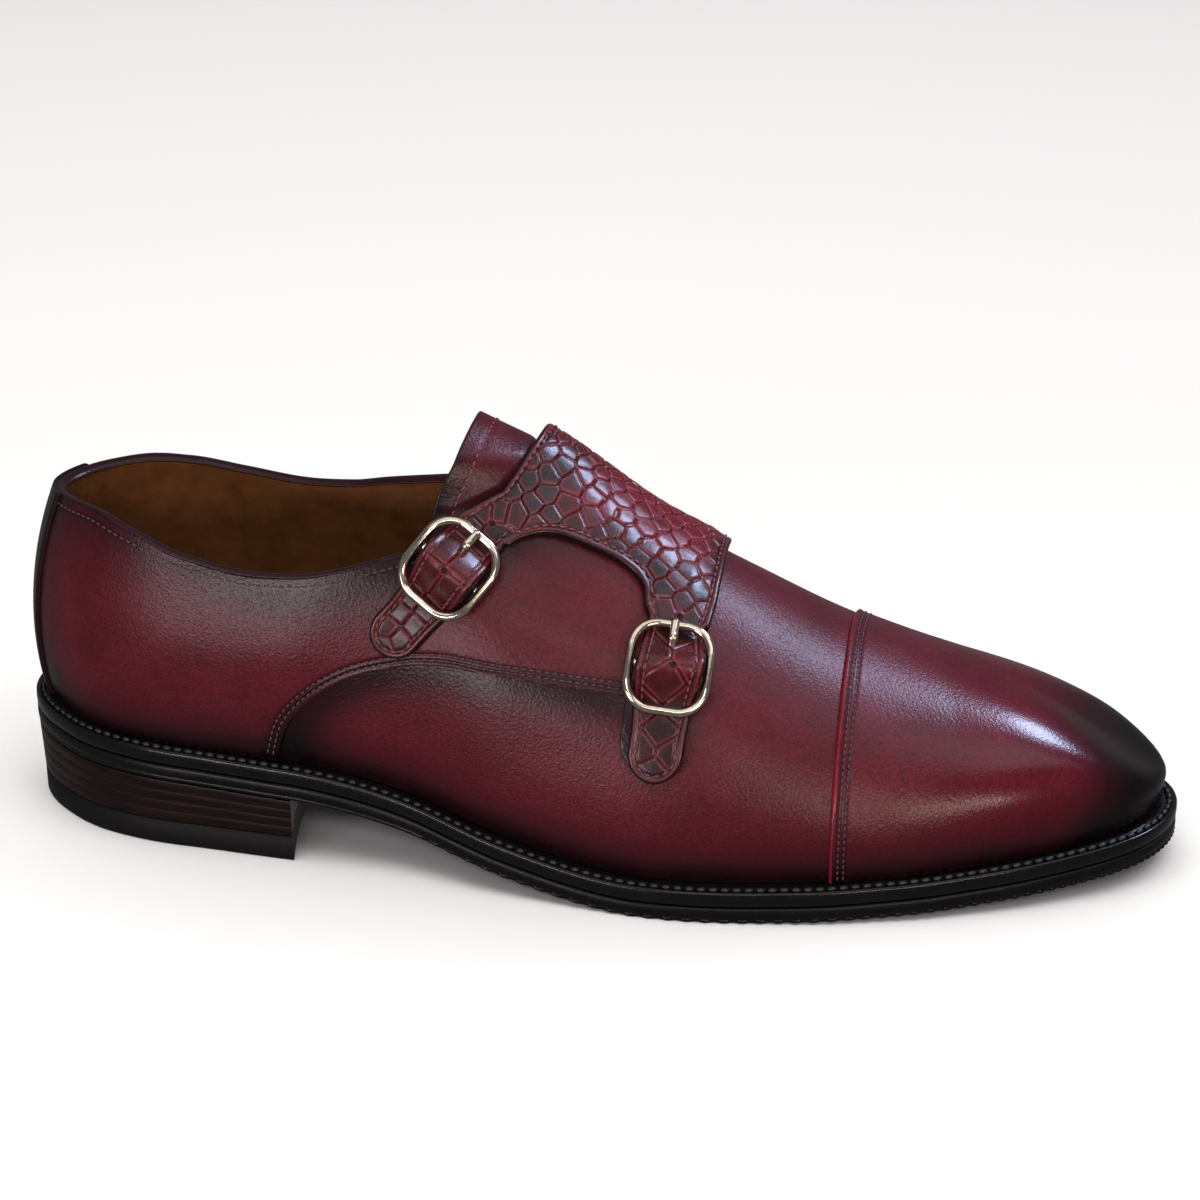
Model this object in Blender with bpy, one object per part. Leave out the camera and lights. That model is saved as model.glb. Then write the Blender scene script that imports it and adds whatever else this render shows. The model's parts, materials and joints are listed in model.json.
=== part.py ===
"""A right-foot double monk strap shoe, as separate solids on one last.

Every curved piece is laid on one function, the last: `last_point(turn, across)`. `turn` runs from
0 at the back of the heel to 1 at the tip of the toe, and `across` from -1 at the lateral feather
edge over the ridge at 0 to 1 at the medial feather edge. Lengths are metres, +X points to the toe,
+Y to the medial side and +Z up, with the origin in the middle of the heel's resting face.
"""

import math

import bmesh
import bpy
import numpy as np

MM = 0.001

# The last
LAST_LENGTH = 288 * MM
BALL_WIDTH = 84 * MM
INSTEP_RISE = 100 * MM
HEEL_BACK = 34 * MM
HEEL_LAG = 70 * MM
TOE_LAG = 24 * MM

# The heel and the sole under it
SEAT_HEIGHT = 29 * MM
SEAT_PITCH = 2.9 * MM
HEEL_BREAST = 39 * MM
BREAST_SAG = 4.5 * MM
TOP_LIFT = 6.8 * MM
WELT_THICKNESS = 4.0 * MM
OUTSOLE_THICKNESS = 4.2 * MM
WELT_OVERHANG = 5.0 * MM
HEEL_OVERHANG = 4.2 * MM
TREAD_START = 165 * MM
TREAD_FLAT = 12 * MM
TOE_SPRING = 6.5 * MM
INSOLE_THICKNESS = 2.5 * MM

# Leathers, hardware and clearances
GAP = 0.3 * MM
UPPER_WALL = 2.0 * MM
CAP_STEP = 1.0 * MM
CAP_SEAM = 0.650
QUARTER_THICKNESS = 0.9 * MM
BACK_STRIP_THICKNESS = 1.0 * MM
TONGUE_THICKNESS = 2.0 * MM
TONGUE_LIFT = 3.4 * MM
TONGUE_SEAT = 1.2 * MM
FLAP_THICKNESS = 2.2 * MM
FLAP_LIFT = 4.4 * MM
STRAP_WIDTH = 13.8 * MM
TAB_WIDTH = 15.8 * MM
BUCKLE_WIDTH = 21.5 * MM
BUCKLE_LENGTH = 23.6 * MM
BUCKLE_CORNER = 6.6 * MM
BUCKLE_WIRE = 2.3 * MM
BAR_WIRE = 2.0 * MM
PRONG_WIRE = 1.6 * MM

STRAP_TIP = 27.0 * MM
BAR_PLAY = 0.25 * MM
BUCKLE_PLAY = 0.3 * MM
BAR_REACH = 8.8 * MM
BUCKLE_BOW = 1.3 * MM
TAB_START = 8.5 * MM
TAB_SHIFT = -1.2 * MM
TAB_BACK = 1.0 * MM

# The straps are a little wider in the buckle and narrower at the end. The rows of their facets
# and the bends of the prong are given from the bar: how far, and how high over the frame's middle
# and over the place where the prong rests.
STRAP_SWELL = 0.10
STRAP_TAPER = 0.05
SWELL_REACH = 8.0 * MM
STRAP_ROWS = tuple(row * MM for row in (-11.5, -9, -6.6, -4.5, -2.4, 0, 2.4, 4.8, 7.2, 9.6, 12, 14.6, 17.4))
PRONG_STEPS = (3.6 * MM, 5.4 * MM, 7.4 * MM)
PRONG_END = 1.5 * MM
PRONG_RISES = (-0.75 * MM, 0.1 * MM, 1.35 * MM)
PRONG_DROPS = (0.5 * MM, 0.25 * MM, 0.0)

# Facets
RINGS = 42
WALL_ROWS = 11
QUARTER_ROWS = 10
THROAT_RINGS = (0.470, 0.482, 0.490, 0.496, 0.501, 0.506)
STRIP_ROWS = 10

# Finishes: colour, roughness, metallic
CALF = ((0.12, 0.012, 0.022), 0.35, 0.0)
DARK_CALF = ((0.02, 0.006, 0.008), 0.35, 0.0)
CROC = ((0.09, 0.012, 0.016), 0.3, 0.0)
LINING = ((0.16, 0.075, 0.03), 0.6, 0.0)
SOLE_LEATHER = ((0.008, 0.008, 0.009), 0.4, 0.0)
STACK = ((0.018, 0.012, 0.01), 0.45, 0.0)
RUBBER = ((0.006, 0.006, 0.007), 0.7, 0.0)
STEEL = ((0.72, 0.66, 0.56), 0.25, 1.0)

# The last's bottom outline and the fullness of its sides, as shares of the ball width.
# bow is the middle line's shift to the medial side and half is the half width, as a share of
# half the ball width. swell_out and swell_in push the lateral and medial sides outwards, and
# square is the power of the section, where 1 is an ellipse and less is boxier.
LAST_COLUMNS = ("along", "bow", "half", "swell_out", "swell_in", "square")
LAST_TABLE = (
    (0.00, 0.000, 0.000, 0.062, 0.062, 1.00),
    (0.03, 0.000, 0.381, 0.060, 0.060, 1.00),
    (0.08, 0.000, 0.598, 0.056, 0.056, 1.00),
    (0.15, 0.006, 0.705, 0.046, 0.048, 0.99),
    (0.25, -0.012, 0.724, 0.036, 0.040, 0.98),
    (0.35, -0.040, 0.695, 0.036, 0.060, 0.98),
    (0.45, -0.076, 0.774, 0.034, 0.080, 1.00),
    (0.55, -0.065, 0.886, 0.032, 0.060, 1.00),
    (0.62, -0.030, 0.964, 0.032, 0.040, 0.97),
    (0.70, 0.023, 0.998, 0.030, 0.030, 0.96),
    (0.78, 0.055, 0.931, 0.028, 0.028, 0.95),
    (0.86, 0.073, 0.769, 0.024, 0.024, 0.82),
    (0.93, 0.079, 0.548, 0.020, 0.020, 0.66),
    (0.97, 0.089, 0.383, 0.018, 0.018, 0.55),
    (1.00, 0.096, 0.000, 0.016, 0.016, 0.48),
)

# The ridge over the instep: height above the floor as a share of the instep rise, and shift to
# the medial side as a share of the ball width.
RIDGE_COLUMNS = ("along", "height", "shift")
RIDGE_TABLE = (
    (0.15, 1.340, 0.000),
    (0.30, 1.200, 0.010),
    (0.40, 1.060, 0.030),
    (0.46, 0.980, 0.040),
    (0.52, 0.895, 0.045),
    (0.58, 0.803, 0.045),
    (0.64, 0.712, 0.045),
    (0.72, 0.592, 0.055),
    (0.80, 0.508, 0.070),
    (0.88, 0.434, 0.085),
    (1.00, 0.222, 0.096),
)

# The topline: height above the floor as a share of the instep rise, until it closes at the throat.
TOPLINE_COLUMNS = ("along", "lateral", "medial")
TOPLINE_TABLE = (
    (0.000, 0.850, 0.850),
    (0.020, 0.856, 0.856),
    (0.045, 0.858, 0.858),
    (0.090, 0.832, 0.842),
    (0.147, 0.786, 0.806),
    (0.215, 0.760, 0.784),
    (0.255, 0.765, 0.790),
    (0.291, 0.783, 0.810),
    (0.341, 0.822, 0.836),
    (0.370, 0.842, 0.852),
    (0.385, 0.852, 0.862),
    (0.405, 0.885, 0.888),
    (0.430, 0.902, 0.902),
    (0.455, 0.914, 0.914),
    (0.480, 0.914, 0.914),
    (0.497, 0.908, 0.908),
    (0.512, 0.930, 0.930),
    (0.530, 1.000, 1.000),
)

# The quarter's lower front edge, as shares of the way from the feather edge to the ridge.
QUARTER_COLUMNS = ("along", "rise")
QUARTER_TABLE = (
    (0.240, 0.000),
    (0.251, 0.065),
    (0.268, 0.115),
    (0.305, 0.185),
    (0.344, 0.235),
    (0.398, 0.295),
    (0.429, 0.318),
    (0.498, 0.368),
    (0.546, 0.403),
    (0.582, 0.424),
)

# The flap over the instep: where its two edges run, from its medial end over the ridge.
FLAP_COLUMNS = ("across", "collar_side", "toe_side")
FLAP_TABLE = (
    (0.560, 0.446, 0.590),
    (0.340, 0.444, 0.606),
    (0.150, 0.446, 0.612),
    (0.000, 0.444, 0.613),
    (-0.130, 0.438, 0.614),
    (-0.240, 0.428, 0.614),
)
# Its lateral rim, from the collar side along the arch between the two straps to the toe side.
RIM_COLUMNS = ("column", "along", "across")
RIM_TABLE = (
    (0, 0.407, -0.345),
    (5, 0.438, -0.395),
    (6, 0.451, -0.357),
    (7, 0.467, -0.320),
    (8, 0.483, -0.301),
    (9, 0.505, -0.292),
    (10, 0.527, -0.288),
    (11, 0.543, -0.297),
    (12, 0.554, -0.328),
    (13, 0.558, -0.375),
    (18, 0.611, -0.352),
)
# The middle lines of the two straps. The buckle's bar crosses each at its second row.
STRAP_COLUMNS = ("along", "across")
REAR_STRAP_TABLE = (
    (0.420, -0.375),
    (0.396, -0.506),
    (0.364, -0.640),
    (0.336, -0.735),
)
FRONT_STRAP_TABLE = (
    (0.585, -0.362),
    (0.583, -0.496),
    (0.581, -0.630),
    (0.578, -0.745),
)
TONGUE_COLUMNS = ("across", "collar_side", "toe_side")
TONGUE_TABLE = (
    (-0.560, 0.372, 0.530),
    (-0.460, 0.371, 0.545),
    (-0.360, 0.376, 0.552),
    (-0.240, 0.386, 0.556),
    (0.000, 0.392, 0.558),
    (0.240, 0.392, 0.556),
    (0.360, 0.386, 0.552),
    (0.460, 0.380, 0.545),
    (0.560, 0.376, 0.530),
)


def smooth_curve(knots, values):
    """A cubic through the knots that never overshoots them, as a function of an array."""
    knots = np.asarray(knots, float)
    values = np.asarray(values, float)
    step = np.diff(knots)
    chord = np.diff(values) / step
    slope = np.zeros_like(values)
    slope[0] = chord[0]
    slope[-1] = chord[-1]
    for i in range(1, len(knots) - 1):
        if chord[i - 1] * chord[i] > 0:
            before = 2 * step[i] + step[i - 1]
            after = step[i] + 2 * step[i - 1]
            slope[i] = (before + after) / (before / chord[i - 1] + after / chord[i])

    def at(where):
        where = np.clip(np.asarray(where, float), knots[0], knots[-1])
        k = np.clip(np.searchsorted(knots, where) - 1, 0, len(step) - 1)
        t = (where - knots[k]) / step[k]
        return (
            values[k] * (1 + 2 * t) * (1 - t) ** 2
            + step[k] * slope[k] * t * (1 - t) ** 2
            + values[k + 1] * t * t * (3 - 2 * t)
            + step[k] * slope[k + 1] * t * t * (t - 1)
        )

    return at


def table_curves(columns, table, knots=None):
    """One smooth curve for each named column of a table, against its first column."""
    first = np.asarray([row[0] for row in table] if knots is None else knots, float)
    order = np.argsort(first)
    curves = {}
    for i, name in enumerate(columns):
        values = np.asarray([row[i] for row in table])
        curves[name] = smooth_curve(first[order], values[order])
    return curves


def smoothstep(t):
    t = np.clip(t, 0, 1)
    return t * t * (3 - 2 * t)


def turn_of(along):
    return np.arccos(1 - 2 * np.clip(along, 0, 1)) / np.pi


def along_of(turn):
    return (1 - np.cos(np.pi * np.asarray(turn, float))) / 2


SECTION = table_curves(LAST_COLUMNS, LAST_TABLE, turn_of(np.array([row[0] for row in LAST_TABLE])))
RIDGE = table_curves(RIDGE_COLUMNS, RIDGE_TABLE)
TOPLINE = table_curves(TOPLINE_COLUMNS, TOPLINE_TABLE)
QUARTER = table_curves(QUARTER_COLUMNS, QUARTER_TABLE)
FLAP = table_curves(FLAP_COLUMNS, FLAP_TABLE)
RIM = table_curves(RIM_COLUMNS, RIM_TABLE)
TONGUE = table_curves(TONGUE_COLUMNS, TONGUE_TABLE)

SOLE_STACK = WELT_THICKNESS + GAP + OUTSOLE_THICKNESS
TREAD_X = TREAD_START - HEEL_BACK


def seat_height(x):
    """Height of the welt's top face above the floor at x."""
    x = np.asarray(x, float)
    breast = SEAT_HEIGHT - SEAT_PITCH
    slope = -SEAT_PITCH / (HEEL_BREAST + HEEL_BACK)
    seat = breast + slope * (x - HEEL_BREAST)
    run = TREAD_X - HEEL_BREAST
    t = np.clip((x - HEEL_BREAST) / run, 0, 1)
    waist = (
        (2 * t**3 - 3 * t**2 + 1) * breast
        + (t**3 - 2 * t**2 + t) * slope * run * 2
        + (3 * t**2 - 2 * t**3) * SOLE_STACK
    )
    toe_run = LAST_LENGTH - HEEL_BACK - TREAD_X - TREAD_FLAT
    s = np.clip((x - TREAD_X - TREAD_FLAT) / toe_run, 0, None)
    toe = SOLE_STACK + TOE_SPRING * s**1.8
    return np.where(x < HEEL_BREAST, seat, np.where(x < TREAD_X, waist, toe))


def bottom_outline(around, out=0.0):
    """The last's bottom outline in plan, moved out by a distance. around is 0 at the heel, 1 at
    the toe and 2 back at the heel, first along the lateral side."""
    def edge(a):
        a = np.mod(a, 2.0)
        side = np.where(a <= 1, -1.0, 1.0)
        turn = np.where(a <= 1, a, 2 - a)
        x = -HEEL_BACK + LAST_LENGTH * along_of(turn)
        y = BALL_WIDTH * SECTION["bow"](turn) + side * BALL_WIDTH / 2 * SECTION["half"](turn)
        return x, y

    x, y = edge(around)
    ahead = edge(np.asarray(around) + 1e-3)
    behind = edge(np.asarray(around) - 1e-3)
    dx = ahead[0] - behind[0]
    dy = ahead[1] - behind[1]
    size = np.hypot(dx, dy)
    return x + dy / size * out, y - dx / size * out


def ridge_point(turn):
    """A point of the ridge and the ridge's slope there."""
    share = along_of(turn)
    lag = HEEL_LAG * (1 - smoothstep(share / 0.40)) - TOE_LAG * smoothstep((share - 0.70) / 0.30)
    x = -HEEL_BACK + LAST_LENGTH * share + lag
    at = (x + HEEL_BACK) / LAST_LENGTH
    rise = RIDGE["height"](at + 1e-3) - RIDGE["height"](at - 1e-3)
    slope = INSTEP_RISE * rise / (2e-3 * LAST_LENGTH)
    return x, BALL_WIDTH * RIDGE["shift"](at), INSTEP_RISE * RIDGE["height"](at), slope


def last_point(turn, across):
    """A point of the last's surface, which is also the outer face of the upper."""
    turn, across = np.broadcast_arrays(np.asarray(turn, float), np.asarray(across, float))
    medial = across > 0
    up = 1 - np.abs(across)
    x0, y0 = bottom_outline(np.where(medial, 2 - turn, turn))
    z0 = seat_height(x0) + GAP
    x1, y1, z1, slope = ridge_point(turn)
    power = SECTION["square"](turn)
    lean = np.clip(np.cos(up * math.pi / 2), 0, 1) ** power
    lift = np.clip(np.sin(up * math.pi / 2), 0, 1) ** power
    swell = BALL_WIDTH * np.where(medial, SECTION["swell_in"](turn), SECTION["swell_out"](turn))
    reach = np.hypot(x0 - x1, y0 - y1)
    full = 1 + swell / reach * 6.75 * up * (1 - up) ** 2
    x = x1 + (x0 - x1) * lean * full
    y = y1 + (y0 - y1) * lean * full
    z = z0 + (z1 - z0) * lift + slope * (x - x1) * lift**2
    return np.stack([x, y, z], axis=-1)


def skin_point(turn, across, offset=0.0):
    """A point at a distance outside the last's surface, along its normal, and that normal."""
    turn, across = np.broadcast_arrays(np.asarray(turn, float), np.asarray(across, float))
    step = 2e-3

    def moved(t, a):
        """Past the heel's and the toe's ends the surface goes on along the other side."""
        flip = (t < 0) | (t > 1)
        return last_point(np.where(t < 0, -t, np.where(t > 1, 2 - t, t)), np.where(flip, -a, a))

    inner = np.clip(across, -1 + step, 1 - step)
    inner = np.where(np.abs(inner) < step, -step, inner)
    along = moved(turn + step, inner) - moved(turn - step, inner)
    over = moved(turn, inner + step) - moved(turn, inner - step)
    normal = np.cross(along, over)
    # On the feather edge the offset is level, so that all layers end on the welt.
    normal[..., 2] = np.where(np.abs(across) > 0.9999, 0.0, normal[..., 2])
    normal /= np.linalg.norm(normal, axis=-1, keepdims=True)
    return last_point(turn, across) + normal * np.asarray(offset)[..., None], normal


def solid_from(name, points, faces, finish):
    """A mesh object in the shoe's collection. finish is a colour, a roughness and a metallic."""
    used = sorted({i for face in faces for i in face})
    place = {old: new for new, old in enumerate(used)}
    mesh = bpy.data.meshes.new(name)
    mesh.from_pydata([tuple(points[i]) for i in used], [], [[place[i] for i in face] for face in faces])
    work = bmesh.new()
    work.from_mesh(mesh)
    bmesh.ops.recalc_face_normals(work, faces=work.faces)
    work.to_mesh(mesh)
    work.free()
    material = bpy.data.materials.new(name + "_finish")
    material.use_nodes = True
    shader = material.node_tree.nodes["Principled BSDF"]
    colour, roughness, metallic = finish
    shader.inputs["Base Color"].default_value = (*colour, 1.0)
    shader.inputs["Roughness"].default_value = roughness
    shader.inputs["Metallic"].default_value = metallic
    material.diffuse_color = (*colour, 1.0)
    mesh.materials.append(material)
    made = bpy.data.objects.new(name, mesh)
    SHOE.objects.link(made)
    return made


def thick_sheet(name, outer, inner, faces, finish):
    """A closed solid between two copies of a sheet, walled along each edge of the sheet that only
    one face uses."""
    count = len(outer)
    clean = []
    for face in faces:
        corners = [i for n, i in enumerate(face) if i != face[n - 1]]
        if len(set(corners)) >= 3:
            clean.append(corners)
    edges = {(face[n - 1], face[n]) for face in clean for n in range(len(face))}
    walls = [[b, a, a + count, b + count] for a, b in edges if (b, a) not in edges]
    backs = [[i + count for i in reversed(face)] for face in clean]
    points = np.concatenate([outer, inner])
    return solid_from(name, points, clean + backs + sorted(walls), finish)


def grid_faces(index, open_cells=None, ring=False):
    """The four-sided faces of a grid of point numbers, without the cells that stay open."""
    rows, columns = index.shape
    faces = []
    for r in range(rows - 1):
        for c in range(columns if ring else columns - 1):
            if open_cells is None or not open_cells[r, c]:
                d = (c + 1) % columns
                corners = (index[r, c], index[r, d], index[r + 1, d], index[r + 1, c])
                faces.append([int(i) for i in corners])
    return faces


def slab(name, turn, across, inner, outer, finish, open_cells=None):
    """A plate between two offsets of the last, over a grid of turn and across."""
    index = np.arange(turn.size).reshape(turn.shape)
    far = skin_point(turn, across, np.broadcast_to(outer, turn.shape))[0].reshape(-1, 3)
    near = skin_point(turn, across, np.broadcast_to(inner, turn.shape))[0].reshape(-1, 3)
    return thick_sheet(name, far, near, grid_faces(index, open_cells), finish)


def plate(name, turns, out, top, bottom, finish, breast=False):
    """A layer of the sole between two heights, each a function of x. out holds the outline's
    offset at the top and at the bottom. With breast it ends in the heel's hollow front."""
    cells = 4 if breast else 2
    share = np.linspace(0, 1, cells + 1)
    layers = []
    for offset, height in zip(out, (top, bottom)):
        rows = []
        for turn in turns:
            x0, y0 = bottom_outline(turn, offset)
            x1, y1 = bottom_outline(2 - turn, offset)
            rows.append((x0 + (x1 - x0) * share, y0 + (y1 - y0) * share))
        if breast:
            around = np.linspace(0, 1, 2001)
            side = bottom_outline(around, offset)
            other = bottom_outline(2 - around, offset)
            y0 = np.interp(HEEL_BREAST, side[0], side[1])
            y1 = np.interp(HEEL_BREAST, other[0], other[1])
            hollow = HEEL_BREAST - BREAST_SAG * (1 - (2 * share - 1) ** 2)
            rows.append((hollow, y0 + (y1 - y0) * share))
        points = [np.stack([x, y, height(x) + 0 * x], axis=-1) for x, y in rows]
        layers.append(np.concatenate(points))
    index = np.arange(len(layers[0])).reshape(-1, cells + 1)
    index[0] = index[0, 0]
    if not breast:
        index[-1] = index[-1, 0]
    return thick_sheet(name, layers[0], layers[1], grid_faces(index), finish)


def topline_rise(turn, side):
    """How far up from the feather edge the upper reaches, 1 where it closes on the ridge."""
    rise = np.linspace(0.3, 1, 281)
    height = last_point(np.full(rise.shape, turn), side * (1 - rise))[..., 2]
    limit = INSTEP_RISE * TOPLINE["lateral" if side < 0 else "medial"](along_of(turn))
    over = np.nonzero(height >= limit)[0]
    if len(over) == 0 or over[0] == 0 or along_of(turn) > 0.52:
        return 1.0
    k = over[0]
    found = np.interp(limit, height[k - 1 : k + 1], rise[k - 1 : k + 1])
    return 1.0 if found > 0.97 else float(found)


def even_rises(turn, side, low, high, rows):
    """Rises from low to high that lie the same distance apart on the last."""
    rise = np.linspace(low, high, 161)
    points = last_point(np.full(rise.shape, turn), side * (1 - rise))
    length = np.concatenate([[0], np.cumsum(np.linalg.norm(np.diff(points, axis=0), axis=1))])
    return np.interp(np.linspace(0, length[-1], rows), length, rise)


def strap_line(table):
    """The middle line of a strap: its place on the last at a distance from the buckle's bar."""
    knots = np.arange(len(table), dtype=float)
    along = smooth_curve(knots, [row[0] for row in table])
    across = smooth_curve(knots, [row[1] for row in table])
    q = np.linspace(0, len(table) - 1, 301)
    points = last_point(turn_of(along(q)), across(q))
    length = np.concatenate([[0], np.cumsum(np.linalg.norm(np.diff(points, axis=0), axis=1))])
    length -= np.interp(1.0, q, length)

    def at(distance):
        here = np.interp(distance, length, q)
        past = (np.asarray(distance) - np.clip(distance, length[0], length[-1])) / (length[-1] - length[-20])
        a = along(here) + past * (along(q[-1]) - along(q[-20]))
        c = across(here) + past * (across(q[-1]) - across(q[-20]))
        return turn_of(a), c

    return at


def strap_frame(line, distance):
    """The point, normal, direction and sideways direction of a strap, with the steps of turn and
    across that move one metre sideways."""
    turn, across = line(distance)
    point, normal = skin_point(turn, across, np.zeros(np.shape(turn)))
    ahead = last_point(*line(distance + 0.5 * MM)) - last_point(*line(distance - 0.5 * MM))
    ahead /= np.linalg.norm(ahead, axis=-1, keepdims=True)
    beside = np.cross(normal, ahead)
    beside /= np.linalg.norm(beside, axis=-1, keepdims=True)
    step = 1e-3
    by_turn = (last_point(turn + step, across) - last_point(turn - step, across)) / (2 * step)
    by_across = (last_point(turn, across + step) - last_point(turn, across - step)) / (2 * step)
    a = np.sum(by_turn * by_turn, -1)
    b = np.sum(by_turn * by_across, -1)
    c = np.sum(by_across * by_across, -1)
    u = np.sum(by_turn * beside, -1)
    v = np.sum(by_across * beside, -1)
    whole = a * c - b * b
    return point, normal, ahead, beside, (c * u - b * v) / whole, (a * v - b * u) / whole


def buckle_seat(table):
    """The middle of a buckle's frame: the point of the last under it, its three directions and the
    height of the frame's middle over that point."""
    line = strap_line(table)
    point, normal, ahead, beside, _, _ = strap_frame(line, np.array([0.0]))
    ends = np.array([-1.0, 1.0]) * (BUCKLE_LENGTH - BUCKLE_WIRE) / 2
    cover = 3 * GAP + QUARTER_THICKNESS + FLAP_THICKNESS + BUCKLE_PLAY + BUCKLE_WIRE / 2
    carried = strap_frame(line, ends)
    height = np.sum((carried[0] + carried[1] * cover - point[0]) * normal[0], axis=-1).mean()
    return point[0], normal[0], ahead[0], beside[0], height + BUCKLE_BOW


def tube(path, radius, sides=8, ring=False):
    """Points and faces of a round bar along a path of points, closed on itself or capped."""
    path = np.asarray(path, float)
    radius = np.broadcast_to(radius, (len(path),))
    if ring:
        ahead = np.roll(path, -1, axis=0) - np.roll(path, 1, axis=0)
    else:
        ahead = np.gradient(path, axis=0)
    ahead /= np.linalg.norm(ahead, axis=1, keepdims=True)
    spread = np.linalg.svd(path - path.mean(axis=0))[2][2]
    side = np.cross(ahead, spread)
    side /= np.linalg.norm(side, axis=1, keepdims=True)
    up = np.cross(side, ahead)
    angle = np.linspace(0, 2 * math.pi, sides, endpoint=False)
    points = (
        path[:, None]
        + side[:, None] * (np.cos(angle)[None, :, None] * radius[:, None, None])
        + up[:, None] * (np.sin(angle)[None, :, None] * radius[:, None, None])
    ).reshape(-1, 3)
    index = np.arange(len(points)).reshape(len(path), sides)
    if ring:
        faces = grid_faces(np.concatenate([index, index[:1]]), ring=True)
    else:
        faces = grid_faces(index, ring=True)
        faces.append([int(i) for i in index[0][::-1]])
        faces.append([int(i) for i in index[-1]])
    return points, faces


def ring_turns():
    """Where the rings of the upper's facets stand, closer at the throat and with a step at the cap."""
    even = np.arange(RINGS + 1) / RINGS
    throat = turn_of(np.array(THROAT_RINGS))
    cap = np.array((CAP_SEAM, CAP_SEAM + 0.0015))
    fixed = np.concatenate([throat, cap])
    far = [t for t in even if np.abs(fixed - t).min() > 0.35 / RINGS]
    return np.sort(np.concatenate([far, fixed]))


def upper_layers():
    """The points of the upper's outer and inner faces and the faces of the sheet between them."""
    turns = ring_turns()
    last = len(turns) - 1
    columns = [(t, -1.0) for t in turns] + [(t, 1.0) for t in turns[-2:0:-1]]
    count = len(columns)
    index = np.arange(WALL_ROWS * count).reshape(WALL_ROWS, count)
    turn = np.zeros((WALL_ROWS, count))
    across = np.zeros((WALL_ROWS, count))
    for c, (t, side) in enumerate(columns):
        high = min(topline_rise(t, -1.0), topline_rise(t, 1.0)) if t in (0.0, 1.0) else topline_rise(t, side)
        turn[:, c] = t
        across[:, c] = side * (1 - even_rises(t, side, 0.0, high, WALL_ROWS))
        if high == 1.0 and side > 0:
            index[-1, c] = index[-1, 2 * last - c]
    step = np.where(turn > CAP_SEAM + 0.0005, CAP_STEP, 0.0)
    outer = skin_point(turn, across, step)[0]
    inner = skin_point(turn, across, np.full(turn.shape, -UPPER_WALL))[0]
    inner[0, :, 2] = outer[0, :, 2]
    return outer.reshape(-1, 3), inner.reshape(-1, 3), grid_faces(index, ring=True)


def quarter(name, side):
    """The quarter of one side, from the back strip to under the flap."""
    start, stop = turn_of(QUARTER_TABLE[0][0]), turn_of(QUARTER_TABLE[-1][0])
    rings = [t for t in ring_turns() if 0.01 < t < stop - 0.004]
    turns = np.unique([0.005, *rings, start, start + 0.004, start + 0.012, stop])
    turns = turns[np.append(True, np.diff(turns) > 0.0025)]
    low = np.where(turns < start, 0.0, QUARTER["rise"](along_of(turns)))
    high = np.array([min(topline_rise(t, side), 0.955) for t in turns])
    rises = np.array([even_rises(t, side, a, b, QUARTER_ROWS) for t, a, b in zip(turns, low, high)])
    turn = np.repeat(turns[:, None], QUARTER_ROWS, axis=1)
    slab(name, turn, side * (1 - rises), GAP, GAP + QUARTER_THICKNESS, CALF)


def back_strip():
    """The strip up the heel's back seam, over both quarters."""
    reach = 3
    around = np.arange(-reach, reach + 1) / RINGS
    high = topline_rise(0.0, -1.0)
    rises = even_rises(0.0, -1.0, 0.0, high, STRIP_ROWS)
    turn = np.repeat(np.abs(around)[:, None], STRIP_ROWS, axis=1)
    side = np.where(around < 0, 1.0, -1.0)[:, None]
    limit = np.array([topline_rise(abs(a), 1.0 if a < 0 else -1.0) for a in around])[:, None]
    seat = 2 * GAP + QUARTER_THICKNESS
    across = side * (1 - rises[None, :] / high * limit)
    slab("back_strip", turn, across, seat, seat + BACK_STRIP_THICKNESS, DARK_CALF)


def tongue():
    """The tongue, under the upper's front and risen clear of it in the opening."""
    across = np.linspace(-0.56, 0.56, 17)
    share = np.array([0, 0.1, 0.2, 0.3, 0.4, 0.5, 0.6, 0.8, 1.0])
    back = TONGUE["collar_side"](across)[:, None]
    along = back + (TONGUE["toe_side"](across)[:, None] - back) * share[None, :]
    wide = np.repeat(across[:, None], len(share), axis=1)
    reach = 0.25 + 2.3 * np.clip(0.455 - along, 0, None)
    free = smoothstep((0.480 - along) / 0.045) * smoothstep((reach - np.abs(wide)) / 0.20)
    outer = -UPPER_WALL - TONGUE_SEAT + (UPPER_WALL + TONGUE_SEAT + TONGUE_LIFT) * free
    slab("tongue", turn_of(along), wide, outer - TONGUE_THICKNESS, outer, CALF)


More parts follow.
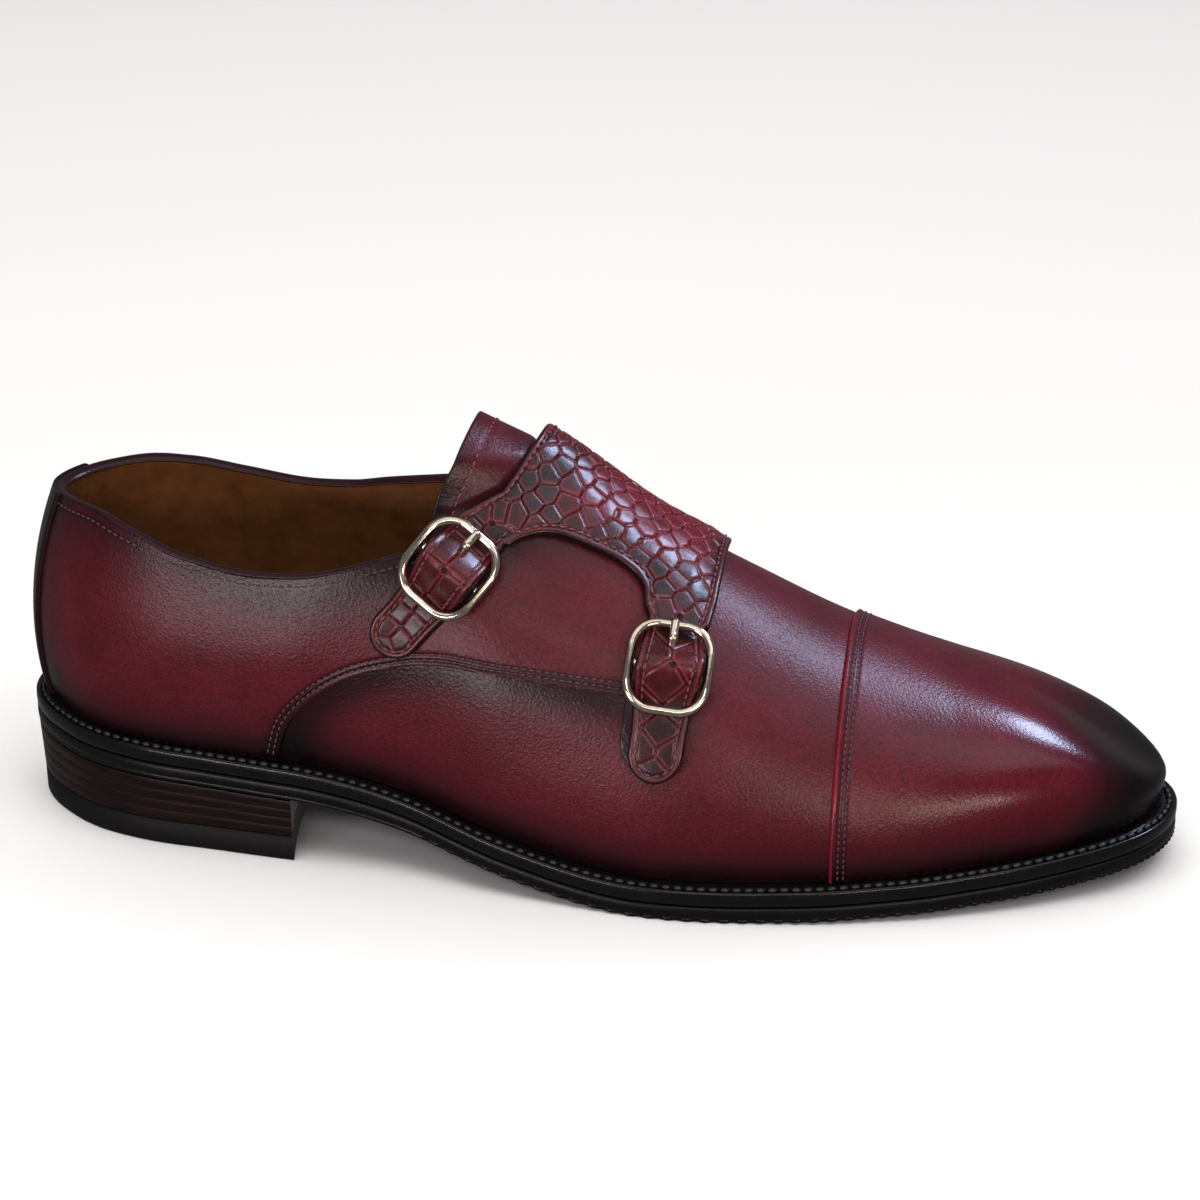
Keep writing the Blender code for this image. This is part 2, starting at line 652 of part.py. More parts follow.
def monk_flap():
    """The flap over the instep and its two straps, which rise over the bars of the buckles."""
    strap_columns = 5
    columns = 19
    half = STRAP_WIDTH / 2
    side_steps = np.array([-1, -0.53, -0.18, 0.18, 0.53, 1]) * half
    band = np.array([0.56, 0.49, 0.42, 0.35, 0.28, 0.21, 0.14, 0.07, 0.0, -0.07, -0.15, -0.23])
    tip = STRAP_TIP - half
    rounding = np.radians((35, 62, 81))
    rows = np.concatenate([STRAP_ROWS, [tip], tip + half * np.sin(rounding)])
    narrow = np.concatenate([np.ones(len(STRAP_ROWS) + 1), np.cos(rounding)])
    swell = STRAP_SWELL * np.exp(-((rows / SWELL_REACH) ** 2))
    taper = STRAP_TAPER * smoothstep((rows - SWELL_REACH) / SWELL_REACH)
    narrow = narrow * (1 + swell - taper)
    total = len(band) + 1 + len(rows)
    turn = np.full((total, columns), 0.5)
    across = np.full((total, columns), -0.5)
    inner = np.full((total, columns), 0.0)
    share = np.linspace(0, 1, columns)
    rim_along = RIM["along"](np.arange(columns))
    rim_across = RIM["across"](np.arange(columns))
    rim_share = (rim_along - rim_along[0]) / (rim_along[-1] - rim_along[0])
    for r, level in enumerate(band):
        near = smoothstep(max(0.0, (0.15 - level) / 0.38)) ** 1.3
        mixed = share + (rim_share - share) * near
        back, front = FLAP["collar_side"](level), FLAP["toe_side"](level)
        turn[r] = turn_of(back + (front - back) * mixed)
        sag = (rim_across - rim_across.min()) - (rim_across.max() - rim_across.min())
        across[r] = level + sag * near * 0.55
    rim = len(band)
    turn[rim] = turn_of(rim_along)
    across[rim] = rim_across
    open_cells = np.zeros((total - 1, columns - 1), bool)
    open_cells[rim:, strap_columns : columns - 1 - strap_columns] = True
    along = along_of(turn)
    seat = 2 * GAP + QUARTER_THICKNESS
    crest = smoothstep((0.30 - np.abs(across - 0.04)) / 0.28)
    rise = FLAP_LIFT * crest * (1 - smoothstep((along - 0.44) / 0.12))
    fall = (seat - GAP) * 0.6 * smoothstep((along - 0.588) / 0.026) * smoothstep((across + 0.40) / 0.12)
    inner[: rim + 1] = (seat + rise - fall)[: rim + 1]
    for first, table in ((0, REAR_STRAP_TABLE), (columns - 1 - strap_columns, FRONT_STRAP_TABLE)):
        line = strap_line(table)
        middle = line(rows)
        frame = strap_frame(line, rows)
        rise = buckle_seat(table)[4] + BAR_WIRE / 2 + GAP + BAR_PLAY - seat
        hump = rise * np.cos(np.clip(np.abs(rows) / BAR_REACH, 0, 1) * math.pi / 2) ** 2
        for c, away in enumerate(side_steps):
            turn[rim + 1 :, first + c] = middle[0] + frame[4] * away * narrow
            across[rim + 1 :, first + c] = middle[1] + frame[5] * away * narrow
            inner[rim + 1 :, first + c] = seat + hump
        open_cells[rim + 3 : rim + 5, first + 2] = True
    slab("monk_flap", turn, across, inner, inner + FLAP_THICKNESS, CROC, open_cells)


def buckle(name, table):
    """A buckle's frame with its bar, and its prong, on a strap."""
    origin, normal, ahead, beside, height = buckle_seat(table)

    def place(s, w, h):
        """A point s along the strap, w sideways and h off the shoe, on the frame's bow."""
        s, w, h = np.broadcast_arrays(np.asarray(s, float), np.asarray(w, float), np.asarray(h, float))
        drop = BUCKLE_BOW * (2 * s / BUCKLE_LENGTH) ** 2
        return origin + ahead * s[..., None] + beside * w[..., None] + normal * (h - drop)[..., None]

    half_w = (BUCKLE_WIDTH - BUCKLE_WIRE) / 2
    half_s = (BUCKLE_LENGTH - BUCKLE_WIRE) / 2
    corner = BUCKLE_CORNER
    path = []
    for quarter_turn in range(4):
        for bend in np.radians((0, 22.5, 45, 67.5, 90)):
            angle = quarter_turn * math.pi / 2 + bend
            sign_w = 1 if quarter_turn in (0, 3) else -1
            sign_s = 1 if quarter_turn in (0, 1) else -1
            w = sign_w * (half_w - corner) + corner * math.cos(angle)
            s = sign_s * (half_s - corner) + corner * math.sin(angle)
            path.append(place(s, w, height))
    points, faces = tube(path, BUCKLE_WIRE / 2, ring=True)
    bar = [place(0, w, height) for w in np.linspace(-1, 1, 5) * (half_w - BUCKLE_WIRE * 0.2)]
    more, more_faces = tube(bar, BAR_WIRE / 2)
    frame = solid_from(name + "_frame", points, faces, STEEL)
    cutter = solid_from(name + "_bar_form", more, more_faces, STEEL)
    SHOE.objects.unlink(cutter)
    FORMS.objects.link(cutter)
    cutter.hide_render = True
    cutter.display_type = "WIRE"
    join = frame.modifiers.new("bar", "BOOLEAN")
    join.operation = "UNION"
    join.solver = "EXACT"
    join.object = cutter
    reach = half_s + BUCKLE_WIRE * 0.45
    root = BAR_WIRE / 2 + GAP + PRONG_WIRE / 2
    over = height + BUCKLE_WIRE / 2 + GAP + PRONG_WIRE / 2
    table_s = [-root, *(-step for step in PRONG_STEPS), -half_s + PRONG_END, -reach]
    table_h = [height + rise for rise in PRONG_RISES] + [over + drop for drop in PRONG_DROPS]
    prong_path = [place(s, 0.0, h) for s, h in zip(table_s, table_h)]
    sizes = np.array([0.8, 0.9, 1.0, 1.0, 0.95, 0.72]) * PRONG_WIRE / 2
    points, faces = tube(prong_path, sizes)
    solid_from(name + "_prong", points, faces, STEEL)


def front_tab():
    """The quarter's tab that carries on under the front strap's end."""
    line = strap_line(FRONT_STRAP_TABLE)
    half = TAB_WIDTH / 2
    tip = STRAP_TIP - half - TAB_BACK
    rounding = np.radians((35, 62, 81))
    rows = np.concatenate([np.linspace(TAB_START, tip, 5), tip + half * np.sin(rounding)])
    narrow = np.concatenate([np.ones(5), np.cos(rounding)])
    frame = strap_frame(line, rows)
    middle = line(rows)
    away = np.linspace(-1, 1, 6)[None, :] * half * narrow[:, None] + TAB_SHIFT
    turn = middle[0][:, None] + frame[4][:, None] * away
    across = middle[1][:, None] + frame[5][:, None] * away
    slab("front_tab", turn, across, GAP, GAP + QUARTER_THICKNESS, CALF)


for old in list(bpy.data.objects):
    bpy.data.objects.remove(old, do_unlink=True)

SHOE = bpy.data.collections.new("monk_strap_shoe")
FORMS = bpy.data.collections.new("forms")
bpy.context.scene.collection.children.link(SHOE)
bpy.context.scene.collection.children.link(FORMS)

OUTSOLE_TOP = WELT_THICKNESS + GAP
SOLE_TURNS = np.unique(
    np.append(
        np.linspace(0, 1, 41),
        turn_of((TREAD_START + TREAD_FLAT * np.array((0.08, 0.5, 0.92))) / LAST_LENGTH),
    )
)
HEEL_TURNS = np.linspace(0, turn_of((HEEL_BACK + HEEL_BREAST - BREAST_SAG - 4 * MM) / LAST_LENGTH), 13)

plate(
    "heel_top_lift", HEEL_TURNS, (HEEL_OVERHANG, HEEL_OVERHANG),
    lambda x: TOP_LIFT + 0 * x, lambda x: 0 * x, RUBBER, breast=True,
)
plate(
    "heel_stack", HEEL_TURNS, (WELT_OVERHANG - 0.2 * MM, HEEL_OVERHANG),
    lambda x: seat_height(x) - SOLE_STACK - GAP, lambda x: TOP_LIFT + GAP + 0 * x, STACK, breast=True,
)
plate(
    "outsole", SOLE_TURNS, (WELT_OVERHANG, WELT_OVERHANG),
    lambda x: seat_height(x) - OUTSOLE_TOP, lambda x: seat_height(x) - SOLE_STACK, SOLE_LEATHER,
)
plate(
    "welt", SOLE_TURNS, (WELT_OVERHANG - 0.2 * MM, WELT_OVERHANG),
    lambda x: seat_height(x), lambda x: seat_height(x) - WELT_THICKNESS, SOLE_LEATHER,
)
inside = -UPPER_WALL - 0.5 * MM
plate(
    "insole", SOLE_TURNS, (inside - 0.4 * MM, inside),
    lambda x: seat_height(x) + GAP + INSOLE_THICKNESS, lambda x: seat_height(x) + GAP, LINING,
)
thick_sheet("upper", *upper_layers(), CALF)
quarter("quarter_lateral", -1.0)
quarter("quarter_medial", 1.0)
back_strip()
tongue()
monk_flap()
front_tab()
buckle("rear_buckle", REAR_STRAP_TABLE)
buckle("front_buckle", FRONT_STRAP_TABLE)
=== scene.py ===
# %% [markdown]
# # A double monk strap shoe
# A welted dress shoe for the right foot: burnished burgundy calf, a flap and two straps of
# reptile-embossed calf, two pale nickel buckles, a black welt and sole and a stacked heel. The
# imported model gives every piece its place. This script dresses it, piece by piece, on the same last.

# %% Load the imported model
import json
import math

import bmesh
import bpy
import numpy as np
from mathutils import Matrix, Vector

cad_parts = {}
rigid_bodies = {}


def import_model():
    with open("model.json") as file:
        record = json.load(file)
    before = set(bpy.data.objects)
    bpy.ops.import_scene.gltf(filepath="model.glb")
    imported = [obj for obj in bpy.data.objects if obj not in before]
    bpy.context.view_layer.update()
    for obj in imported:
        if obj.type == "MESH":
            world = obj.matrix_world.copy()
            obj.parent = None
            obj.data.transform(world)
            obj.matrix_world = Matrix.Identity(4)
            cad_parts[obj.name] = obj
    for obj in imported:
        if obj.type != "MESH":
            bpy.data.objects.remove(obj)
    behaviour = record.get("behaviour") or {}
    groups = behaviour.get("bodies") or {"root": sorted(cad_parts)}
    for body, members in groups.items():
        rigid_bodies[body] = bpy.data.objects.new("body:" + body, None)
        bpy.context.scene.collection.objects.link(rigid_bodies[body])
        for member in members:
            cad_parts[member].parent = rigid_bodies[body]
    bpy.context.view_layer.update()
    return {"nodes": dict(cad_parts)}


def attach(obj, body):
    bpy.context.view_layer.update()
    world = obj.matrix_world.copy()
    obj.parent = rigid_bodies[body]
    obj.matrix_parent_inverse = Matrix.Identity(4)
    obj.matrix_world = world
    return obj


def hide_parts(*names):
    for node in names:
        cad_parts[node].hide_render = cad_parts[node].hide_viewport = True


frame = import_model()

MM = 0.001
print("nodes:", ", ".join(sorted(frame["nodes"])))

# %% [markdown]
# ## The last
# A shoemaker pulls all the leather over one wooden form, the last. Here the last is a function of two
# numbers: turn runs from 0 at the back of the heel to 1 at the tip of the toe, and across from -1 at
# the lateral feather edge over the ridge at 0 to 1 at the medial feather edge. Any piece is then a
# patch of it, moved out along the normals by the leather that lies below. The tables are the model's
# own: shares of the length, the ball width and the instep rise.

# %% The shoe's sizes
LAST_LENGTH = 288 * MM
BALL_WIDTH = 84 * MM
INSTEP_RISE = 100 * MM
HEEL_BACK = 34 * MM
HEEL_LAG = 70 * MM
TOE_LAG = 24 * MM
SEAT_HEIGHT = 29 * MM
SEAT_PITCH = 2.9 * MM
HEEL_BREAST = 39 * MM
BREAST_SAG = 4.5 * MM
TOP_LIFT = 6.8 * MM
WELT_THICKNESS = 4.0 * MM
OUTSOLE_THICKNESS = 4.2 * MM
WELT_OVERHANG = 5.0 * MM
HEEL_OVERHANG = 4.2 * MM
TREAD_START = 165 * MM
TREAD_FLAT = 12 * MM
TOE_SPRING = 6.5 * MM
INSOLE_THICKNESS = 2.5 * MM
GAP = 0.3 * MM
UPPER_WALL = 2.0 * MM
CAP_THICKNESS = 1.0 * MM
CAP_SEAM = 0.650
QUARTER_THICKNESS = 0.9 * MM
BACK_STRIP_THICKNESS = 1.0 * MM
TONGUE_THICKNESS = 2.0 * MM
TONGUE_LIFT = 3.4 * MM
TONGUE_SEAT = 1.2 * MM
FLAP_THICKNESS = 2.2 * MM
FLAP_LIFT = 4.4 * MM
STRAP_WIDTH = 13.8 * MM
TAB_WIDTH = 15.8 * MM
BUCKLE_WIDTH = 21.5 * MM
BUCKLE_LENGTH = 23.6 * MM
BUCKLE_CORNER = 6.6 * MM
BUCKLE_WIRE = 2.3 * MM
BAR_WIRE = 2.0 * MM
PRONG_WIRE = 1.6 * MM
STRAP_TIP = 27.0 * MM
BAR_PLAY = 0.25 * MM
BUCKLE_PLAY = 0.3 * MM
BAR_REACH = 8.8 * MM
BUCKLE_BOW = 1.3 * MM
TAB_START = 8.5 * MM
TAB_SHIFT = -1.2 * MM
STRAP_START = -11.5 * MM
STRAP_SWELL = 0.14
STRAP_TAPER = 0.05
SWELL_REACH = 8.0 * MM
TAB_BACK = 1.0 * MM
PRONG_STEPS = (3.6 * MM, 5.4 * MM, 7.4 * MM)
PRONG_END = 1.5 * MM
PRONG_RISES = (-0.75 * MM, 0.1 * MM, 1.35 * MM)
PRONG_DROPS = (0.5 * MM, 0.25 * MM, 0.0)

LAST_COLUMNS = ("along", "bow", "half", "swell_out", "swell_in", "square")
LAST_TABLE = (
    (0.00, 0.000, 0.000, 0.062, 0.062, 1.00),
    (0.03, 0.000, 0.381, 0.060, 0.060, 1.00),
    (0.08, 0.000, 0.598, 0.056, 0.056, 1.00),
    (0.15, 0.006, 0.705, 0.046, 0.048, 0.99),
    (0.25, -0.012, 0.724, 0.036, 0.040, 0.98),
    (0.35, -0.040, 0.695, 0.036, 0.060, 0.98),
    (0.45, -0.076, 0.774, 0.034, 0.080, 1.00),
    (0.55, -0.065, 0.886, 0.032, 0.060, 1.00),
    (0.62, -0.030, 0.964, 0.032, 0.040, 0.97),
    (0.70, 0.023, 0.998, 0.030, 0.030, 0.96),
    (0.78, 0.055, 0.931, 0.028, 0.028, 0.95),
    (0.86, 0.073, 0.769, 0.024, 0.024, 0.82),
    (0.93, 0.079, 0.548, 0.020, 0.020, 0.66),
    (0.97, 0.089, 0.383, 0.018, 0.018, 0.55),
    (1.00, 0.096, 0.000, 0.016, 0.016, 0.48),
)
RIDGE_COLUMNS = ("along", "height", "shift")
RIDGE_TABLE = (
    (0.15, 1.340, 0.000),
    (0.30, 1.200, 0.010),
    (0.40, 1.060, 0.030),
    (0.46, 0.980, 0.040),
    (0.52, 0.895, 0.045),
    (0.58, 0.803, 0.045),
    (0.64, 0.712, 0.045),
    (0.72, 0.592, 0.055),
    (0.80, 0.508, 0.070),
    (0.88, 0.434, 0.085),
    (1.00, 0.222, 0.096),
)
TOPLINE_COLUMNS = ("along", "lateral", "medial")
TOPLINE_TABLE = (
    (0.000, 0.850, 0.850),
    (0.020, 0.856, 0.856),
    (0.045, 0.858, 0.858),
    (0.090, 0.832, 0.842),
    (0.147, 0.786, 0.806),
    (0.215, 0.760, 0.784),
    (0.255, 0.765, 0.790),
    (0.291, 0.783, 0.810),
    (0.341, 0.822, 0.836),
    (0.370, 0.842, 0.852),
    (0.385, 0.852, 0.862),
    (0.405, 0.885, 0.888),
    (0.430, 0.902, 0.902),
    (0.455, 0.914, 0.914),
    (0.480, 0.914, 0.914),
    (0.497, 0.908, 0.908),
    (0.512, 0.930, 0.930),
    (0.530, 1.000, 1.000),
)
QUARTER_COLUMNS = ("along", "rise")
QUARTER_TABLE = (
    (0.240, 0.000),
    (0.251, 0.065),
    (0.268, 0.115),
    (0.305, 0.185),
    (0.344, 0.235),
    (0.398, 0.295),
    (0.429, 0.318),
    (0.498, 0.368),
    (0.546, 0.403),
    (0.582, 0.424),
)
FLAP_COLUMNS = ("across", "collar_side", "toe_side")
FLAP_TABLE = (
    (0.560, 0.446, 0.590),
    (0.340, 0.444, 0.606),
    (0.150, 0.446, 0.612),
    (0.000, 0.444, 0.613),
    (-0.130, 0.438, 0.614),
    (-0.240, 0.428, 0.614),
)
RIM_COLUMNS = ("column", "along", "across")
RIM_TABLE = (
    (0, 0.407, -0.345),
    (5, 0.438, -0.395),
    (6, 0.451, -0.357),
    (7, 0.467, -0.320),
    (8, 0.483, -0.301),
    (9, 0.505, -0.292),
    (10, 0.527, -0.288),
    (11, 0.543, -0.297),
    (12, 0.554, -0.328),
    (13, 0.558, -0.375),
    (18, 0.611, -0.352),
)
REAR_STRAP_TABLE = ((0.420, -0.375), (0.396, -0.506), (0.364, -0.640), (0.336, -0.735))
FRONT_STRAP_TABLE = ((0.585, -0.362), (0.583, -0.496), (0.581, -0.630), (0.578, -0.745))
TONGUE_COLUMNS = ("across", "collar_side", "toe_side")
TONGUE_TABLE = (
    (-0.560, 0.372, 0.530),
    (-0.460, 0.371, 0.545),
    (-0.360, 0.376, 0.552),
    (-0.240, 0.386, 0.556),
    (0.000, 0.392, 0.558),
    (0.240, 0.392, 0.556),
    (0.360, 0.386, 0.552),
    (0.460, 0.380, 0.545),
    (0.560, 0.376, 0.530),
)
print("last", round(LAST_LENGTH / MM), "mm long,", round(BALL_WIDTH / MM), "mm across the ball")


# %% Smooth curves through the tables
def smooth_curve(knots, values):
    """A cubic through the knots that never overshoots them, as a function of an array."""
    knots = np.asarray(knots, float)
    values = np.asarray(values, float)
    step = np.diff(knots)
    chord = np.diff(values) / step
    slope = np.zeros_like(values)
    slope[0] = chord[0]
    slope[-1] = chord[-1]
    for i in range(1, len(knots) - 1):
        if chord[i - 1] * chord[i] > 0:
            before = 2 * step[i] + step[i - 1]
            after = step[i] + 2 * step[i - 1]
            slope[i] = (before + after) / (before / chord[i - 1] + after / chord[i])

    def at(where):
        where = np.clip(np.asarray(where, float), knots[0], knots[-1])
        k = np.clip(np.searchsorted(knots, where) - 1, 0, len(step) - 1)
        t = (where - knots[k]) / step[k]
        return (
            values[k] * (1 + 2 * t) * (1 - t) ** 2
            + step[k] * slope[k] * t * (1 - t) ** 2
            + values[k + 1] * t * t * (3 - 2 * t)
            + step[k] * slope[k + 1] * t * t * (t - 1)
        )

    return at


def table_curves(columns, table, knots=None):
    """One smooth curve for each named column of a table, against its first column."""
    first = np.asarray([row[0] for row in table] if knots is None else knots, float)
    order = np.argsort(first)
    curves = {}
    for i, name in enumerate(columns):
        values = np.asarray([row[i] for row in table])
        curves[name] = smooth_curve(first[order], values[order])
    return curves


def smoothstep(t):
    t = np.clip(t, 0, 1)
    return t * t * (3 - 2 * t)


def turn_of(along):
    return np.arccos(1 - 2 * np.clip(along, 0, 1)) / np.pi


def along_of(turn):
    return (1 - np.cos(np.pi * np.asarray(turn, float))) / 2


SECTION = table_curves(LAST_COLUMNS, LAST_TABLE, turn_of(np.array([row[0] for row in LAST_TABLE])))
RIDGE = table_curves(RIDGE_COLUMNS, RIDGE_TABLE)
TOPLINE = table_curves(TOPLINE_COLUMNS, TOPLINE_TABLE)
QUARTER = table_curves(QUARTER_COLUMNS, QUARTER_TABLE)
FLAP = table_curves(FLAP_COLUMNS, FLAP_TABLE)
RIM = table_curves(RIM_COLUMNS, RIM_TABLE)
TONGUE = table_curves(TONGUE_COLUMNS, TONGUE_TABLE)
SOLE_STACK = WELT_THICKNESS + GAP + OUTSOLE_THICKNESS
TREAD_X = TREAD_START - HEEL_BACK
print(len(SECTION) + len(RIDGE) + len(TOPLINE), "curves describe the last")


# %% The last's surface
def seat_height(x):
    """Height of the welt's top face above the floor at x."""
    x = np.asarray(x, float)
    breast = SEAT_HEIGHT - SEAT_PITCH
    slope = -SEAT_PITCH / (HEEL_BREAST + HEEL_BACK)
    seat = breast + slope * (x - HEEL_BREAST)
    run = TREAD_X - HEEL_BREAST
    t = np.clip((x - HEEL_BREAST) / run, 0, 1)
    waist = (
        (2 * t**3 - 3 * t**2 + 1) * breast
        + (t**3 - 2 * t**2 + t) * slope * run * 2
        + (3 * t**2 - 2 * t**3) * SOLE_STACK
    )
    toe_run = LAST_LENGTH - HEEL_BACK - TREAD_X - TREAD_FLAT
    s = np.clip((x - TREAD_X - TREAD_FLAT) / toe_run, 0, None)
    toe = SOLE_STACK + TOE_SPRING * s**1.8
    return np.where(x < HEEL_BREAST, seat, np.where(x < TREAD_X, waist, toe))


def bottom_outline(around, out=0.0):
    """The last's bottom outline in plan, moved out by a distance. around is 0 at the heel, 1 at
    the toe and 2 back at the heel, first along the lateral side."""
    def edge(a):
        a = np.mod(a, 2.0)
        side = np.where(a <= 1, -1.0, 1.0)
        turn = np.where(a <= 1, a, 2 - a)
        x = -HEEL_BACK + LAST_LENGTH * along_of(turn)
        y = BALL_WIDTH * SECTION["bow"](turn) + side * BALL_WIDTH / 2 * SECTION["half"](turn)
        return x, y

    x, y = edge(around)
    ahead = edge(np.asarray(around) + 1e-3)
    behind = edge(np.asarray(around) - 1e-3)
    dx = ahead[0] - behind[0]
    dy = ahead[1] - behind[1]
    size = np.hypot(dx, dy)
    return x + dy / size * out, y - dx / size * out


def ridge_point(turn):
    """A point of the ridge and the ridge's slope there."""
    share = along_of(turn)
    lag = HEEL_LAG * (1 - smoothstep(share / 0.40)) - TOE_LAG * smoothstep((share - 0.70) / 0.30)
    x = -HEEL_BACK + LAST_LENGTH * share + lag
    at = (x + HEEL_BACK) / LAST_LENGTH
    rise = RIDGE["height"](at + 1e-3) - RIDGE["height"](at - 1e-3)
    slope = INSTEP_RISE * rise / (2e-3 * LAST_LENGTH)
    return x, BALL_WIDTH * RIDGE["shift"](at), INSTEP_RISE * RIDGE["height"](at), slope


def last_point(turn, across):
    """A point of the last's surface, which is also the outer face of the vamp."""
    turn, across = np.broadcast_arrays(np.asarray(turn, float), np.asarray(across, float))
    medial = across > 0
    up = 1 - np.abs(across)
    x0, y0 = bottom_outline(np.where(medial, 2 - turn, turn))
    z0 = seat_height(x0) + GAP
    x1, y1, z1, slope = ridge_point(turn)
    power = SECTION["square"](turn)
    lean = np.clip(np.cos(up * math.pi / 2), 0, 1) ** power
    lift = np.clip(np.sin(up * math.pi / 2), 0, 1) ** power
    swell = BALL_WIDTH * np.where(medial, SECTION["swell_in"](turn), SECTION["swell_out"](turn))
    reach = np.hypot(x0 - x1, y0 - y1)
    full = 1 + swell / reach * 6.75 * up * (1 - up) ** 2
    x = x1 + (x0 - x1) * lean * full
    y = y1 + (y0 - y1) * lean * full
    z = z0 + (z1 - z0) * lift + slope * (x - x1) * lift**2
    return np.stack([x, y, z], axis=-1)


def skin_point(turn, across, offset=0.0):
    """A point at a distance outside the last's surface, along its normal, and that normal."""
    turn, across = np.broadcast_arrays(np.asarray(turn, float), np.asarray(across, float))
    step = 2e-3

    def moved(t, a):
        """Past the heel's and the toe's ends the surface goes on along the other side."""
        flip = (t < 0) | (t > 1)
        return last_point(np.where(t < 0, -t, np.where(t > 1, 2 - t, t)), np.where(flip, -a, a))

    inner = np.clip(across, -1 + step, 1 - step)
    inner = np.where(np.abs(inner) < step, -step, inner)
    along = moved(turn + step, inner) - moved(turn - step, inner)
    over = moved(turn, inner + step) - moved(turn, inner - step)
    normal = np.cross(along, over)
    normal[..., 2] = np.where(np.abs(across) > 0.9999, 0.0, normal[..., 2])
    normal /= np.linalg.norm(normal, axis=-1, keepdims=True)
    return last_point(turn, across) + normal * np.asarray(offset)[..., None], normal


def topline_rise(turn, side):
    """How far up from the feather edge the upper reaches, 1 where it closes on the ridge."""
    rise = np.linspace(0.3, 1, 281)
    height = last_point(np.full(rise.shape, turn), side * (1 - rise))[..., 2]
    limit = INSTEP_RISE * TOPLINE["lateral" if side < 0 else "medial"](along_of(turn))
    over = np.nonzero(height >= limit)[0]
    if len(over) == 0 or over[0] == 0 or along_of(turn) > 0.52:
        return 1.0
    k = over[0]
    found = np.interp(limit, height[k - 1 : k + 1], rise[k - 1 : k + 1])
    return 1.0 if found > 0.97 else float(found)


def lengths_along(points):
    """The distance along a line of points, from its first."""
    return np.concatenate([[0], np.cumsum(np.linalg.norm(np.diff(points, axis=0), axis=1))])


def rises_at(turn, side, low, high, steps):
    """Rises from low to high, at so many even steps or at the distances that steps works out."""
    rise = np.linspace(low, high, 161)
    length = lengths_along(last_point(np.full(rise.shape, turn), side * (1 - rise)))
    if isinstance(steps, int):
        return np.interp(np.linspace(0, length[-1], steps), length, rise)
    return np.interp(steps(length[-1]), length, rise)


def step_sideways(turn, across, beside):
    """The steps of turn and across that move one metre over the last along beside."""
    step = 1e-3
    by_turn = (last_point(turn + step, across) - last_point(turn - step, across)) / (2 * step)
    by_across = (last_point(turn, across + step) - last_point(turn, across - step)) / (2 * step)
    a = np.sum(by_turn * by_turn, -1)
    b = np.sum(by_turn * by_across, -1)
    c = np.sum(by_across * by_across, -1)
    u = np.sum(by_turn * beside, -1)
    v = np.sum(by_across * beside, -1)
    whole = a * c - b * b
    return (c * u - b * v) / whole, (a * v - b * u) / whole


corner = last_point(turn_of(0.70), -1.0) / MM
print("the ball's lateral feather edge is at", np.round(corner, 1), "mm")

# %% [markdown]
# ## Colours and nodes
# Hex codes are how a painter's or a web designer's chart gives a colour, and they are sRGB. Blender
# computes with linear light, so one function turns them. A second small function adds any node with
# its settings, its values and its links. Leather gets its colour in coats, so a third lays colours
# over each other, each one where a pattern says.


# %% Helpers for materials
def srgb(code):
    """A hex colour as linear red, green, blue and alpha."""
    parts = [int(code[i : i + 2], 16) / 255 for i in (1, 3, 5)]
    linear = [p / 12.92 if p <= 0.04045 else ((p + 0.055) / 1.055) ** 2.4 for p in parts]
    return (*linear, 1.0)


def connect(node, inputs):
    """Sets each named or numbered socket to a value, or links it to another node's output."""
    for socket, value in inputs.items():
        if isinstance(value, bpy.types.NodeSocket):
            node.id_data.links.new(value, node.inputs[socket])
        else:
            node.inputs[socket].default_value = value


def add(tree, kind, inputs=None, out=0, **settings):
    """Adds a node with its settings and inputs. Gives the output called out, or the node for None."""
    node = tree.nodes.new(kind)
    for key, value in settings.items():
        setattr(node, key, value)
    connect(node, inputs or {})
    return node if out is None else node.outputs[out]


def coats(tree, ground, layers):
    """Colours over a ground colour. Each layer is its pattern, the range of the pattern over which
    it comes in, how much of it there is at the end of that range, and its colour."""
    colour = srgb(ground) if isinstance(ground, str) else ground
    for pattern, start, end, most, tint in layers:
        share = add(
            tree, "ShaderNodeMapRange",
            {"Value": pattern, "From Min": start, "From Max": end, "To Min": 0.0, "To Max": most},
        )
        tint = srgb(tint) if isinstance(tint, str) else tint
        colour = add(tree, "ShaderNodeMix", {0: share, 6: colour, 7: tint}, 2, data_type="RGBA")
    return colour


def new_material(name, colour, specular=0.5, metallic=0.0):
    """A material with the values that are the same all over it, its tree, its shader and the place
    on the object that its patterns read."""
    material = bpy.data.materials.new(name)
    material.use_nodes = True
    material.diffuse_color = srgb(colour)
    tree = material.node_tree
    shader = tree.nodes["Principled BSDF"]
    connect(shader, {"Base Color": srgb(colour), "Specular IOR Level": specular, "Metallic": metallic})
    return material, tree, shader, add(tree, "ShaderNodeTexCoord", out="Object")


print("burgundy is", [round(v, 4) for v in srgb("#6b1c2c")[:3]], "in linear light")

# %% [markdown]
# ## Burnished box calf
# Along the stitch rows the same attribute also carries painted shade, the dark of the stitch channels.
# Box calf is chrome-tanned calfskin, dyed and glazed with a fine, even grain. The maker then
# burnishes it: dark wax is rubbed in at the toe, along the welt, under the topline and beside the
# seams, and fades into the open panels. Every leather piece therefore carries an attribute, burnish,
# from 0 in the open to 1 where the wax is thickest, which the material turns into colour and gloss.
# Its pores lie about 0.2 mm apart, too fine to show here, so the grain is drawn at 0.68 mm, which is
# as coarse as it needs to be to show.

# %% Calf, its lining and its edges
GRAIN = 0.68 * MM
MOTTLE = 16 * MM
SHINE_START = 186 * MM
SHINE_RUN = 32 * MM


